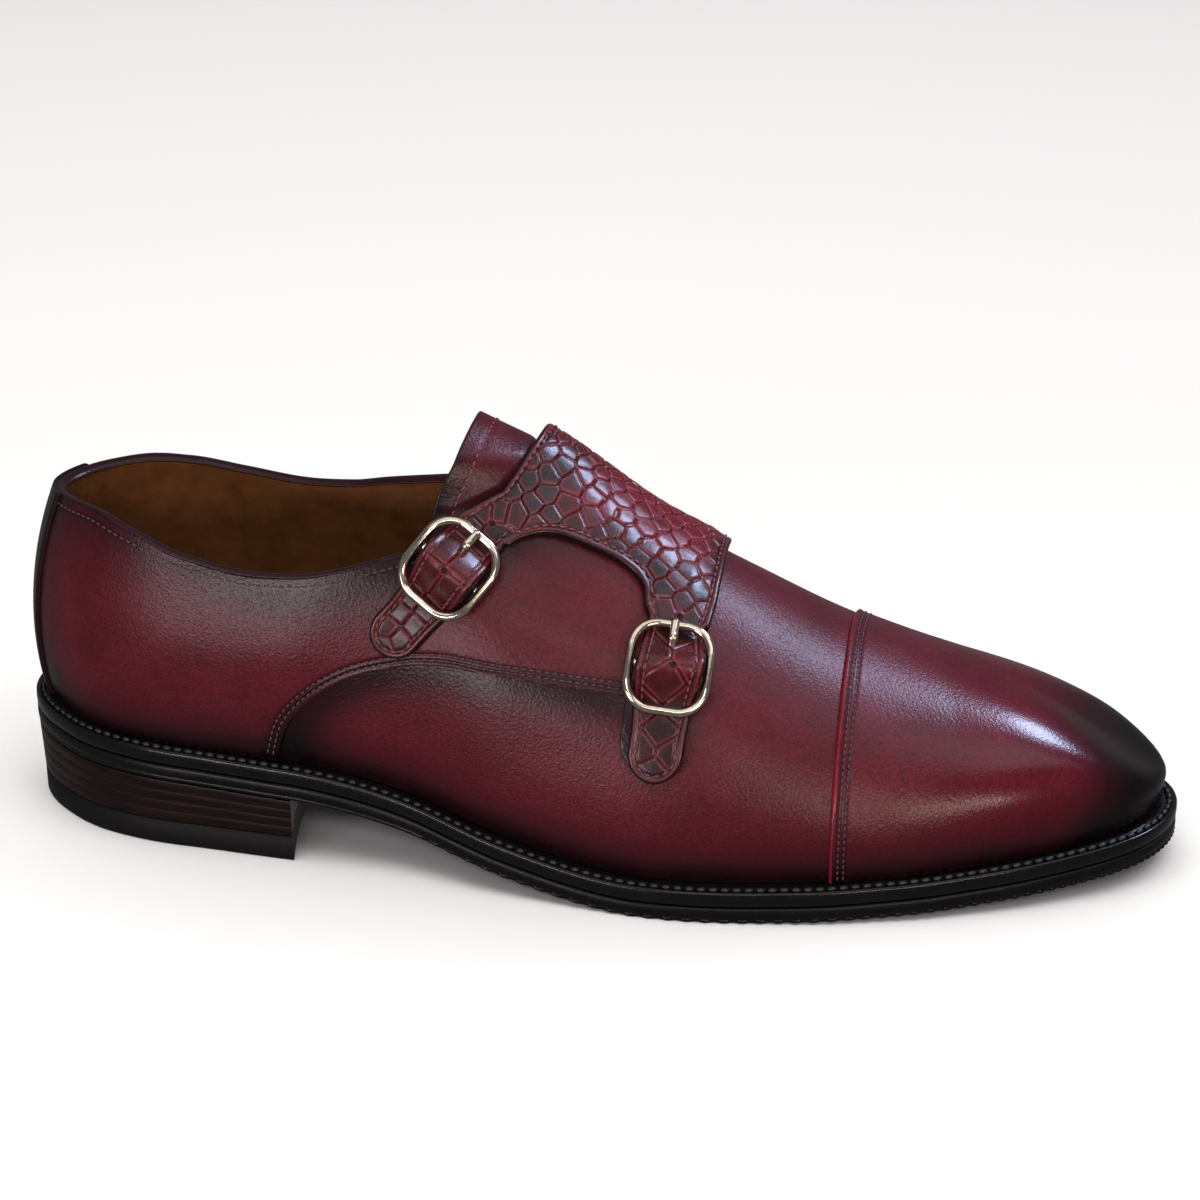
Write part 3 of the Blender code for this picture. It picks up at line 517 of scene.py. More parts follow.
def box_calf(name, open_colour, warm_colour, wax_colour, dark_colour):
    """Glazed calf whose colour runs from the dye through the wax to near black."""
    material, tree, shader, where = new_material(name, open_colour, specular=0.21)
    wax = add(tree, "ShaderNodeAttribute", out="Fac", attribute_name="burnish")
    pebbles = add(
        tree, "ShaderNodeTexVoronoi", {"Vector": where, "Scale": 1 / GRAIN}, feature="SMOOTH_F1"
    )
    creases, cloud, fine = (
        add(tree, "ShaderNodeTexNoise", {"Vector": where, **values})
        for values in (
            {"Scale": 1 / GRAIN, "Detail": 2.0, "Distortion": 1.2},
            {"Scale": 1 / MOTTLE, "Detail": 3.0},
            {"Scale": 1 / (2.2 * GRAIN), "Detail": 3.0, "Roughness": 0.65},
        )
    )
    # The hand that rubs the wax in is never quite even.
    uneven = add(
        tree, "ShaderNodeMapRange",
        {"Value": cloud, "From Min": 0.3, "From Max": 0.7, "To Min": -0.07, "To Max": 0.07},
    )
    uneven = add(tree, "ShaderNodeMath", {0: wax, 1: uneven}, operation="ADD")
    colour = coats(tree, open_colour, (
        (cloud, 0.35, 0.68, 1.0, warm_colour),
        (fine, 0.45, 0.75, 0.30, wax_colour),
        (creases, 0.56, 0.40, 0.45, wax_colour),
        (uneven, 0.03, 0.55, 1.0, wax_colour),
        (uneven, 0.5, 1.0, 1.0, dark_colour),
    ))
    # Wax adds some gloss wherever it lies. The toe alone is polished to a shine, which fills the
    # grain, so the shine comes in over a stretch of the shoe's length.
    x = add(tree, "ShaderNodeSeparateXYZ", {"Vector": where}, "X")
    shine = add(
        tree, "ShaderNodeMapRange",
        {"Value": x, "From Min": SHINE_START, "From Max": SHINE_START + SHINE_RUN},
    )
    waxed = add(tree, "ShaderNodeMapRange", {"Value": wax, "To Max": 0.55})
    polish = add(tree, "ShaderNodeMath", {0: waxed, 1: shine}, operation="MAXIMUM")
    roughness = add(tree, "ShaderNodeMapRange", {"Value": polish, "To Min": 0.35, "To Max": 0.19})
    grain_left = add(tree, "ShaderNodeMapRange", {"Value": polish, "To Min": 0.85, "To Max": 0.26})
    skin = add(tree, "ShaderNodeMath", {0: pebbles, 1: creases}, operation="MULTIPLY")
    normal = add(
        tree, "ShaderNodeBump", {"Height": skin, "Distance": 0.16 * MM, "Strength": grain_left}
    )
    connect(shader, {"Base Color": colour, "Roughness": roughness, "Normal": normal})
    return material


def plain_leather(name, colour, second, roughness, grain, depth, coat=0.0):
    """Leather of one dye: lining, edge paint or waxed sole leather."""
    material, tree, shader, where = new_material(name, colour, specular=0.14)
    cloud, fine = (
        add(
            tree, "ShaderNodeTexNoise",
            {"Vector": where, "Scale": 1 / size, "Detail": detail, "Roughness": 0.6},
        )
        for size, detail in ((9 * grain, 4.0), (grain, 3.0))
    )
    dull = add(
        tree, "ShaderNodeMapRange",
        {"Value": fine, "From Min": 0.3, "From Max": 0.7,
         "To Min": roughness - 0.06, "To Max": roughness + 0.08},
    )
    connect(shader, {
        "Base Color": coats(tree, colour, ((cloud, 0.3, 0.7, 1.0, second),)),
        "Roughness": dull,
        "Coat Weight": coat,
        "Coat Roughness": 0.15,
        "Normal": add(tree, "ShaderNodeBump", {"Height": fine, "Distance": depth, "Strength": 0.6}),
    })
    return material


CALF = box_calf("burnished_box_calf", "#50111b", "#611826", "#270a11", "#070304")
# Each name is followed by two tones, the roughness, the grain's size and depth in mm, and the glaze.
SEAM_EDGE, EDGE_PAINT, DARK_CALF, LINING, WELT_LEATHER, SOLE_LEATHER = (
    plain_leather(name, colour, second, roughness, grain * MM, depth * MM, coat)
    for name, colour, second, roughness, grain, depth, coat in (
        ("burgundy_folded_edge", "#86202f", "#641625", 0.33, 0.8, 0.04, 0.15),
        ("dark_edge_paint", "#170a0c", "#220e11", 0.34, 0.9, 0.05, 0.10),
        ("near_black_calf", "#1c0910", "#10060a", 0.34, 0.8, 0.04, 0.10),
        ("tan_lining_calf", "#6b4426", "#553318", 0.55, 0.7, 0.05, 0.0),
        ("black_waxed_welt", "#050506", "#0a0a0b", 0.22, 1.2, 0.13, 0.30),
        ("black_inked_sole_edge", "#070708", "#0c0c0d", 0.33, 1.4, 0.05, 0.05),
    )
)
print("leathers:", ", ".join(m.name for m in (CALF, LINING, WELT_LEATHER, SOLE_LEATHER)))

# %% [markdown]
# ## Reptile-embossed calf
# The flap isn't crocodile but calf, pressed between hot plates with a crocodile pattern. The plates
# stay flat and take the burnish, the grooves stay dark, and the glaze on top is hard, so each plate
# catches the light by itself. Each plate's rounded border is painted a lighter red, a painted
# highlight. The relief is real geometry. The mesh carries three attributes for the colour: plate, 0
# in a groove and 1 on a plate, rim, 1 on a plate's border where the painted highlight lies and along
# the cut edge's folded red line, and shade, how dark the burnish is there, with painted shade in the
# stitch channel.


# %% Embossed calf
def embossed_calf(name):
    """Glazed embossed calf: dark or red plates, borders in a lighter red that is a painted highlight,
    and deep grooves.
    """
    material, tree, shader, where = new_material(name, "#4a1218", specular=0.22)
    plate, border, shade = (
        add(tree, "ShaderNodeAttribute", out="Fac", attribute_name=field)
        for field in ("plate", "rim", "shade")
    )
    squeezed = add(tree, "ShaderNodeMapping", {"Vector": where, "Scale": (1.0, 1.0, 1.6)})
    smudge = add(
        tree, "ShaderNodeTexNoise",
        {"Vector": where, "Scale": 1 / (2.2 * MM), "Detail": 4.0, "Roughness": 0.7},
    )
    wrinkle = add(
        tree, "ShaderNodeTexNoise",
        {"Vector": squeezed, "Scale": 1 / (0.55 * MM), "Detail": 3.0, "Roughness": 0.7},
    )
    red = coats(tree, "#6f1723", ((smudge, 0.3, 0.7, 1.0, "#4b0e18"),))
    dark = coats(tree, "#2a1b1b", ((smudge, 0.3, 0.7, 1.0, "#140c0d"),))
    top = coats(tree, red, ((shade, 0.0, 1.0, 1.0, dark),))
    # Painted highlight: the plates' rounded borders are coloured a lighter red.
    lip = coats(tree, "#a23440", ((shade, 0.0, 1.0, 1.0, "#7a3238"),))
    groove = coats(tree, "#22060b", ((shade, 0.0, 1.0, 1.0, "#1c070a"),))
    gloss = add(
        tree, "ShaderNodeMapRange",
        {"Value": wrinkle, "From Min": 0.3, "From Max": 0.7, "To Min": 0.18, "To Max": 0.34},
    )
    connect(shader, {
        "Base Color": coats(tree, groove, ((plate, 0.0, 1.0, 1.0, top), (border, 0.0, 1.0, 1.0, lip))),
        "Roughness": gloss,
        "Coat Weight": 0.10,
        "Coat Roughness": 0.16,
        "Normal": add(
            tree, "ShaderNodeBump", {"Height": wrinkle, "Distance": 0.10 * MM, "Strength": 0.6}
        ),
    })
    return material


EMBOSSED = embossed_calf("crocodile_embossed_calf")
print("relief:", EMBOSSED.name)

# %% [markdown]
# ## Thread, stacked leather, rubber and nickel
# The rest of the shoe needs simpler finishes, each with one pattern. Waxed linen thread shows its
# twist as short streaks. The heel's lifts are sole leather, whose fibres run level. The top lift is
# black rubber, dull and finely pitted from the mould. The buckles are brass wire with a warm nickel
# plate, polished, with faint wiping marks. One function makes them all.


# %% Thread, stacked leather, rubber and metal
def one_pattern(name, tones, pattern, span, gloss, depth, strength, specular=0.5, metallic=0.0):
    """A material with one pattern. pattern is its size in mm, its detail, its roughness and how far
    it is squeezed on each axis, span the part of its range that runs from tone to tone, and gloss
    the roughness at each end."""
    material, tree, shader, where = new_material(name, tones[0], specular, metallic)
    size, detail, rough, squeeze = pattern
    where = add(tree, "ShaderNodeMapping", {"Vector": where, "Scale": squeeze})
    pattern = add(
        tree, "ShaderNodeTexNoise",
        {"Vector": where, "Scale": 1 / (size * MM), "Detail": detail, "Roughness": rough},
    )
    low, high = gloss
    dull = low if low == high else add(
        tree, "ShaderNodeMapRange",
        {"Value": pattern, "From Min": 0.3, "From Max": 0.7, "To Min": low, "To Max": high},
    )
    connect(shader, {
        "Base Color": coats(tree, tones[0], ((pattern, *span, 1.0, tones[1]),)),
        "Roughness": dull,
        "Normal": add(
            tree, "ShaderNodeBump", {"Height": pattern, "Distance": depth * MM, "Strength": strength}
        ),
    })
    return material


EVEN = (1.0, 1.0, 1.0)
TWIST = ((0.35, 2.0, 0.5, EVEN), (0.0, 1.0), (0.5, 0.5), 0.08, 0.6)
UPPER_THREAD = one_pattern("mauve_linen_thread", ("#643842", "#33171e"), *TWIST)
RED_THREAD = one_pattern("red_linen_thread", ("#8a3e48", "#4a1c23"), *TWIST)
WELT_THREAD = one_pattern("black_waxed_thread", ("#1c1c1f", "#09090a"), *TWIST)
STACK = one_pattern(
    "dark_stacked_leather", ("#0e0908", "#20130f"), (9, 4.0, 0.6, (1.0, 1.0, 14.0)), (0.35, 0.68),
    (0.36, 0.36), 0.05, 0.5, specular=0.12,
)
RUBBER = one_pattern(
    "black_moulded_rubber", ("#0a0a0b", "#141415"), (0.6, 3.0, 0.6, EVEN), (0.0, 1.0),
    (0.48, 0.66), 0.06, 0.5, specular=0.12,
)
NICKEL = one_pattern(
    "polished_warm_nickel", ("#b3a594", "#cec3b5"), (1.6, 5.0, 0.7, (1.0, 3.0, 1.0)), (0.35, 0.65),
    (0.09, 0.17), 0.02, 0.3, metallic=1.0,
)
HOLE_SHADOW, _, hole_shader, _ = new_material("shadow_in_punched_holes", "#050202")
connect(hole_shader, {"Roughness": 0.9})
print("metal:", NICKEL.name)

# %% [markdown]
# ## Sheets of leather
# Each leather piece is a closed sheet: a fine grid on the last, moved out by two different distances
# and walled along its cut edge. Near a cut edge the outer face drops in a quarter circle, because
# a shoemaker folds or sands every edge round. The distances to the edges come from the grid itself.


# %% A closed sheet from a grid
def cells(index, keep=None):
    """The four corners of each cell of a grid of point numbers."""
    quads = np.stack([index[:-1, :-1], index[:-1, 1:], index[1:, 1:], index[1:, :-1]], axis=-1)
    return (quads if keep is None else quads[keep]).reshape(-1, 4)


def open_edges(quads):
    """The edges that only one cell has, in that cell's direction."""
    edges = np.stack([quads, np.roll(quads, -1, axis=1)], axis=-1).reshape(-1, 2)
    edges = edges[edges[:, 0] != edges[:, 1]]
    span = quads.max() + 1
    return edges[~np.isin(edges[:, 0] * span + edges[:, 1], edges[:, 1] * span + edges[:, 0])]


def trimmed_mesh(name, points, blocks, materials):
    """A mesh from blocks of faces, one for each material. It leaves out the points that no face has
    and the faces that have closed up to a line, and says which points it kept."""
    used = np.unique(np.concatenate([faces.reshape(-1) for faces in blocks]))
    number = np.zeros(len(points), int)
    number[used] = np.arange(len(used))
    kept, slots = [], []
    for slot, faces in enumerate(blocks):
        for face in number[faces].tolist():
            corners = list(dict.fromkeys(face))
            if len(corners) > 2:
                kept.append(corners)
                slots.append(slot)
    mesh = bpy.data.meshes.new(name)
    mesh.from_pydata(points[used].tolist(), [], kept)
    for material in materials:
        mesh.materials.append(material)
    mesh.polygons.foreach_set("material_index", slots)
    return mesh, used


def sheet(name, outer, inner, index, materials, fields=None, keep=None, skip=1):
    """A closed piece between two copies of a grid. materials holds those of its outer face, its
    inner face and its cut edge. keep tells which cells are there, and fields are attributes. With
    skip the inner face, which nobody sees, takes only every so many rows and columns."""
    count = len(outer)
    quads = cells(index, keep)
    under = cells(index[::skip, ::skip], None if keep is None else keep[::skip, ::skip])
    border = open_edges(under)
    between = [(border[:, 0] * (skip - k) + border[:, 1] * k) // skip for k in range(skip + 1)]
    walls = np.stack(between[::-1] + [border[:, 0] + count, border[:, 1] + count], axis=-1)
    blocks = (quads, under[:, ::-1] + count, walls)
    mesh, used = trimmed_mesh(name, np.concatenate([outer, inner]), blocks, materials)
    for field, values in (fields or {}).items():
        attribute = mesh.attributes.new(field, "FLOAT", "POINT")
        both = np.concatenate([values, values]) if len(values) == count else values
        attribute.data.foreach_set("value", both[used].astype(np.float32))
    return finished(name, mesh)


def finished(name, mesh, sharp=50.0):
    """An object from a mesh, with its faces outward and shaded smooth up to an angle."""
    work = bmesh.new()
    work.from_mesh(mesh)
    bmesh.ops.recalc_face_normals(work, faces=work.faces)
    work.to_mesh(mesh)
    work.free()
    mesh.shade_smooth()
    mesh.set_sharp_from_angle(angle=math.radians(sharp))
    made = bpy.data.objects.new(name, mesh)
    bpy.context.scene.collection.objects.link(made)
    return made


def rounded(distance, radius):
    """How far a round edge of that radius lies below the flat, at a distance from the cut."""
    short = np.clip(1 - np.asarray(distance) / radius, 0, 1)
    return radius * (1 - np.sqrt(1 - short**2))


def distance_to(points, path):
    """The distance from each point to the nearest point of a path."""
    nearest = np.full(len(points), 1.0)
    for start in range(0, len(points), 4000):
        part = points[start : start + 4000]
        gap = np.linalg.norm(part[:, None] - path[None], axis=-1)
        nearest[start : start + 4000] = gap.min(axis=1)
    return nearest


def place(piece, nodes):
    """A piece joins the shoe's one body and hides the imported nodes that it stands for."""
    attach(piece, "root")
    if nodes:
        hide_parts(*nodes)
    piece.data.update()
    triangles = sum(len(p.vertices) - 2 for p in piece.data.polygons)
    print(f"{piece.name}: {triangles} triangles")
    return piece


SEAT_PLAY = 0.04 * MM
print("a 0.45 mm edge drops", round(float(rounded(0.0, 0.45)), 2), "mm at the cut")

# %% [markdown]
# ## Where the lines run
# Seams, stitches and burnish all follow a few lines on the last: the feather edge where the upper
# meets the welt, the topline and the quarter's curved seam. They are worked out once here and used by
# the pieces that follow.

# %% Lines on the last
THROAT = 0.497
RISE_LIMIT = 0.955


def topline(side, stop=THROAT, count=150):
    """The topline of one side, from the heel to the throat, as turn and across."""
    turns = np.linspace(0.0, float(turn_of(stop)), count)
    rises = np.array([topline_rise(t, side) for t in turns])
    rises = np.minimum(rises, RISE_LIMIT)
    return turns, side * (1 - rises)


def collar_line(stop=THROAT):
    """The topline of both sides in one line, from throat to throat round the heel."""
    lateral, medial = topline(-1.0, stop), topline(1.0, stop)
    return tuple(np.concatenate([a[::-1], b[1:]]) for a, b in zip(lateral, medial))


def quarter_seam(side, count=140):
    """The quarter's lower front edge, from the feather edge to under the strap."""
    first, last = QUARTER_TABLE[0][0], QUARTER_TABLE[-1][0]
    along = first + (last - first) * np.linspace(0, 1, count) ** 1.6
    return turn_of(along), side * (1 - QUARTER["rise"](along))


def moved_beside(turn, across, distance):
    """A line on the last moved sideways over its surface, to the left of its direction."""
    point, normal = skin_point(turn, across, np.zeros(np.shape(turn)))
    ahead = np.gradient(point, axis=0)
    beside = np.cross(normal, ahead)
    beside /= np.linalg.norm(beside, axis=-1, keepdims=True)
    steps = step_sideways(turn, across, beside)
    return turn + steps[0] * distance, across + steps[1] * distance


FEATHER_PATH = last_point(np.tile(np.linspace(0, 1, 200), 2), np.repeat([-0.9999, 0.9999], 200))
TOPLINE_PATH = np.concatenate([last_point(*topline(side)) for side in (-1.0, 1.0)])
SEAM_PATH = np.concatenate([last_point(*quarter_seam(side)) for side in (-1.0, 1.0)])
print("topline", round(float(lengths_along(last_point(*topline(-1.0)))[-1]) / MM), "mm a side")


# %% The burnish and the soft hollows of the panels
# Hollows and swells that the hand left in the leather: where each lies along and across the last, its
# size along the shoe and up the side in mm, its slant in degrees, and its depth in mm, outwards where
# positive.
WAVE_TABLE = (
    (0.155, -0.82, 30, 16, -8, 0.90),
    (0.245, -0.80, 22, 14, 10, 0.75),
    (0.205, -0.68, 24, 12, 0, -0.55),
    (0.470, -0.55, 34, 9, -10, 0.35),
    (0.455, -0.46, 40, 8, -12, -0.35),
    (0.520, -0.76, 42, 10, -6, -0.25),
    (0.742, -0.72, 9, 16, 70, -0.25),
    (0.430, 0.60, 36, 12, 8, -0.30),
    (0.620, 0.55, 26, 10, 20, -0.25),
)


def wave(points):
    """How far the leather stands out of the last, from the table of hollows and swells."""
    out = np.zeros(points.shape[:-1])
    for along, across, length, height, slant, depth in WAVE_TABLE:
        middle, normal = skin_point(turn_of(along), across, np.zeros(()))
        level = np.array([1.0, 0.0, 0.0]) - normal * normal[0]
        level /= np.linalg.norm(level)
        upward = np.cross(normal, level)
        lean = math.radians(slant)
        run = points - middle
        forward = run @ (level * math.cos(lean) + upward * math.sin(lean)) / (length * MM)
        sideways = run @ (upward * math.cos(lean) - level * math.sin(lean)) / (height * MM)
        through = run @ normal / (12 * MM)
        out += depth * MM * np.exp(-2 * (forward**2 + sideways**2 + through**2))
    return out


def band(distance, middle, width):
    """A soft band that is 1 at a distance of middle and fades over a width to both sides."""
    return np.exp(-(((distance - middle) / width) ** 2))


def burnish(points, under_seam=True):
    """The wax on the leather, from 0 in the open to 1 where it is thickest. All sizes are in mm."""
    x, y, z = points.T / MM
    over_welt = distance_to(points, FEATHER_PATH) / MM
    at_welt = 0.65 * np.exp(-over_welt / 4.0) + 0.42 * band(over_welt, 0.0, 11.0)
    below_top = distance_to(points, TOPLINE_PATH) / MM
    at_top = band(below_top, 0.0, 12.0) * (0.45 + 0.3 * smoothstep((x - 5) / 40))
    # The toe's black starts further forward on the outer side.
    toe = smoothstep((x + 0.75 * np.minimum(y, 0) - 213) / 38) * smoothstep((z - 4) / 10)
    heel = 0.35 * smoothstep((x + 18) / -14)
    wax = at_welt + at_top + toe + heel
    if under_seam:
        wax = wax + 0.62 * band(distance_to(points, SEAM_PATH) / MM, 0.0, 8.5)
    return np.clip(wax, 0, 1)


probe = last_point(np.array([0.985, 0.6]), np.array([-0.4, -0.7]))
print("burnish at the toe and in the open:", np.round(burnish(probe), 2))

# %% [markdown]
# ## The vamp, the toe cap and the quarters
# The vamp is one hollow shell of calf and lining over the whole last. The toe cap and the quarters
# are further layers on it, each about a millimetre thick, so that each seam is a real step that
# casts a shadow. They could be modelled by eye and pulled onto a form, but the last is a rule that
# gives every point, so they are grids on it, and each layer fits the one below.


# %% The vamp with its lining
def crown_grid(turns, rows, highs=None):
    """A grid from the lateral feather edge up, round the toe and down the medial side: turn, across
    and the numbers of its points. highs says how far up each column goes."""
    columns = [(t, -1.0) for t in turns] + [(t, 1.0) for t in turns[-2::-1]]
    turn = np.zeros((rows, len(columns)))
    across = np.zeros((rows, len(columns)))
    index = np.arange(turn.size).reshape(turn.shape)
    last = len(columns) - 1
    for c, (t, side) in enumerate(columns):
        high = 1.0 if highs is None else highs(t, side)
        turn[:, c] = t
        across[:, c] = side * (1 - rises_at(t, side, 0.0, high, rows))
        if high == 1.0 and side > 0:
            index[-1, c] = index[-1, last - c]
    return turn, across, index


def vamp():
    """The shell of the upper: calf outside, lining inside, open at the collar."""
    even = np.linspace(0, 1, 181)
    throat = (0.470, 0.476, 0.482, 0.486, 0.490, 0.493, 0.496, 0.4985, 0.501, 0.506)
    throat = turn_of(np.array(throat))
    far = even[np.abs(even[:, None] - throat[None]).min(axis=1) > 0.0018]
    turns = np.sort(np.concatenate([far, throat]))
    highs = {(t, side): topline_rise(t, side) for t in turns for side in (-1.0, 1.0)}
    turn, across, index = crown_grid(turns, 50, lambda t, side: highs[(t, side)])
    index[:, -1] = index[:, 0]
    flat = last_point(turn, across)
    out = wave(flat)
    outer = skin_point(turn, across, out)[0]
    inner = skin_point(turn, across, out - UPPER_WALL)[0]
    inner[0, :, 2] = outer[0, :, 2]
    wax = burnish(flat.reshape(-1, 3))
    shell = sheet(
        "vamp_and_lining", outer.reshape(-1, 3), inner.reshape(-1, 3), index, (CALF, LINING, LINING),
        {"burnish": wax},
    )
    return place(shell, ["upper"])


vamp()


# %% The toe cap
CAP_EDGE = 1.25 * MM
CAP_ROWS = (2.0 * MM, 3.4 * MM)


def toe_cap():
    """The cap over the toe, whose folded edge stands a little proud along its seam."""
    start = CAP_SEAM
    turns = np.concatenate([
        start + np.array([0, 0.00012, 0.00035, 0.0007]), start + np.arange(0.0012, 0.0125, 0.0009),
        np.linspace(start + 0.0145, 1.0, 88),
    ])
    turn, across, index = crown_grid(turns, 64)
    flat = last_point(turn, across)
    gap = np.linalg.norm(flat - last_point(np.full(turn.shape, start), across), axis=-1)
    ridge = 0.22 * MM * band(gap, 0.6 * MM, 0.5 * MM)
    channel = 0.18 * MM * sum(band(gap, row, 0.45 * MM) for row in CAP_ROWS)
    out = wave(flat)
    top = out + CAP_THICKNESS + ridge - channel - rounded(gap, 0.5 * MM)
    outer = skin_point(turn, across, top)[0]
    inner = skin_point(turn, across, out + SEAT_PLAY)[0]
    wax = burnish(flat.reshape(-1, 3))
    # Painted shade: the burnish value rises along both stitch rows, for the dark of the stitch
    # channels.
    for row in CAP_ROWS:
        wax = wax + 0.5 * band(gap.reshape(-1), row, 0.5 * MM)
    cap = sheet(
        "toe_cap", outer.reshape(-1, 3), inner.reshape(-1, 3), index, (CALF, CALF, SEAM_EDGE),
        {"burnish": np.clip(wax, 0, 1)},
    )
    middle = np.zeros(len(cap.data.polygons) * 3)
    cap.data.polygons.foreach_get("center", middle)
    seam = last_point(np.full(300, start), np.linspace(-1, 1, 300))
    folded = distance_to(middle.reshape(-1, 3), seam) < CAP_EDGE
    slots = np.zeros(len(folded), np.int32)
    cap.data.polygons.foreach_get("material_index", slots)
    cap.data.polygons.foreach_set("material_index", np.where(folded, 2, slots).astype(np.int32))
    return place(cap, [])


toe_cap()


# %% The two quarters
QUARTER_ROWS = (1.4 * MM, 2.8 * MM)
TOPLINE_ROW = 2.6 * MM


def quarter(side, name):
    """One quarter, from the back strip to under the flap, with a rounded seam edge."""
    first, last = float(turn_of(QUARTER_TABLE[0][0])), float(turn_of(QUARTER_TABLE[-1][0]))
    turns = np.concatenate([
        np.linspace(0.004, first - 0.003, 80),
        first + np.array([-0.0012, -0.0004, 0.0, 0.0003, 0.0008, 0.0015, 0.0023, 0.0032, 0.0042]),
        np.linspace(first + 0.0055, last, 120),
    ])
    low = np.where(turns < first, 0.0, QUARTER["rise"](along_of(turns)))
    high = np.array([min(topline_rise(t, side), RISE_LIMIT) for t in turns])
    near = np.array([0, 0.06, 0.18, 0.32, 0.5, 0.8, 1.1, 1.4, 1.7, 2.1, 2.5, 2.8, 3.1, 3.6]) * MM
    top = np.array([0, 0.6, 1.2, 1.8, 2.2, 2.6, 3.0, 3.4, 4.0]) * MM
    rows = 40 + len(near) + len(top)

    def steps(length):
        middle = np.linspace(near[-1], length - top[-1], 42)[1:-1]
        return np.concatenate([near, middle, length - top[::-1]])

    rises = np.array([rises_at(t, side, a, b, steps) for t, a, b in zip(turns, low, high)])
    turn = np.repeat(turns[:, None], rows, axis=1)
    across = side * (1 - rises)
    flat = last_point(turn, across)
    edge = last_point(*quarter_seam(side))
    from_seam = distance_to(flat.reshape(-1, 3), edge).reshape(turn.shape)
    # Behind the foot of the seam there is no seam edge, so the rounding fades out over 3 mm.
    in_front = np.where(turns[:, None] < first, 0.0, 1.0)
    drop = rounded(from_seam, 0.45 * MM)
    drop = drop * np.maximum(in_front, smoothstep((3 * MM - from_seam) / (3 * MM)))
    channel = 0.20 * MM * sum(band(from_seam, row, 0.45 * MM) for row in QUARTER_ROWS)
    out = wave(flat)
    outer = skin_point(turn, across, out + GAP + QUARTER_THICKNESS - drop - channel)[0]
    inner = skin_point(turn, across, out + SEAT_PLAY)[0]
    wax = burnish(flat.reshape(-1, 3), under_seam=False)
    from_seam = from_seam.reshape(-1)
    wax = wax + 0.40 * band(from_seam, 0.0, 3.4 * MM)
    # Painted shade: the burnish value rises along each stitch row and along the topline's row, for the
    # dark of the stitch channels.
    for row in QUARTER_ROWS:
        wax = wax + 0.5 * band(from_seam, row, 0.45 * MM)
    below_top = distance_to(flat.reshape(-1, 3), TOPLINE_PATH)
    wax = wax + 0.45 * band(below_top, TOPLINE_ROW, 0.5 * MM)
    index = np.arange(turn.size).reshape(turn.shape)
    piece = sheet(
        name, outer.reshape(-1, 3), inner.reshape(-1, 3), index, (CALF, CALF, EDGE_PAINT),
        {"burnish": np.clip(wax, 0, 1)},
    )
    return place(piece, [name.replace("_leather", "")])


for side, name in ((-1.0, "quarter_lateral_leather"), (1.0, "quarter_medial_leather")):
    quarter(side, name)

# %% [markdown]
# ## Rolled edges
# The collar's edge is folded over a cord and stitched down, which makes a thin round bead. A strip
# covers the seam at the back of the heel. The bead is a tube along the topline, with an oval section
# that covers the edges of the quarter, the vamp and the lining.


# %% The topline's bead and the back strip
BEAD_WIDE = 1.68 * MM
BEAD_HIGH = 0.85 * MM
BEAD_INSET = 0.40 * MM
BEAD_DROP = 0.25 * MM
BEAD_WAX = 0.62
STRIP_REACH = 3 / 42


def oval_tube(name, path, first, second, wide, high, material, sides=14):
    """A closed tube along a path with an oval section: wide along first, high along second."""
    angle = np.linspace(0, 2 * math.pi, sides, endpoint=False)
    wide = np.broadcast_to(wide, len(path))[:, None, None]
    high = np.broadcast_to(high, len(path))[:, None, None]
    points = (
        path[:, None]
        + first[:, None] * np.cos(angle)[None, :, None] * wide
        + second[:, None] * np.sin(angle)[None, :, None] * high
    )
    index = np.arange(len(path) * sides).reshape(len(path), sides)
    ahead = np.roll(index, -1, axis=1)
    faces = np.stack([index[:-1], ahead[:-1], ahead[1:], index[1:]], axis=-1).reshape(-1, 4).tolist()
    faces += [index[0].tolist(), index[-1].tolist()]
    mesh = bpy.data.meshes.new(name)
    mesh.from_pydata(points.reshape(-1, 3).tolist(), [], faces)
    mesh.materials.append(material)
    return finished(name, mesh)


def topline_bead():
    """The rolled edge, a little inside the leather's face and below its cut."""
    point, normal = skin_point(*collar_line(), 0.0)
    upward = np.cross(np.gradient(point, axis=0), normal)
    upward /= np.linalg.norm(upward, axis=1, keepdims=True)
    upward *= np.where(upward[:, 2:] < 0, -1.0, 1.0)
    middle = point - normal * BEAD_INSET - upward * BEAD_DROP
    bead = oval_tube("topline_bead", middle, normal, upward, BEAD_WIDE, BEAD_HIGH, CALF)
    wax = bead.data.attributes.new("burnish", "FLOAT", "POINT")
    wax.data.foreach_set("value", np.full(len(bead.data.vertices), BEAD_WAX, np.float32))
    return place(bead, [])


topline_bead()


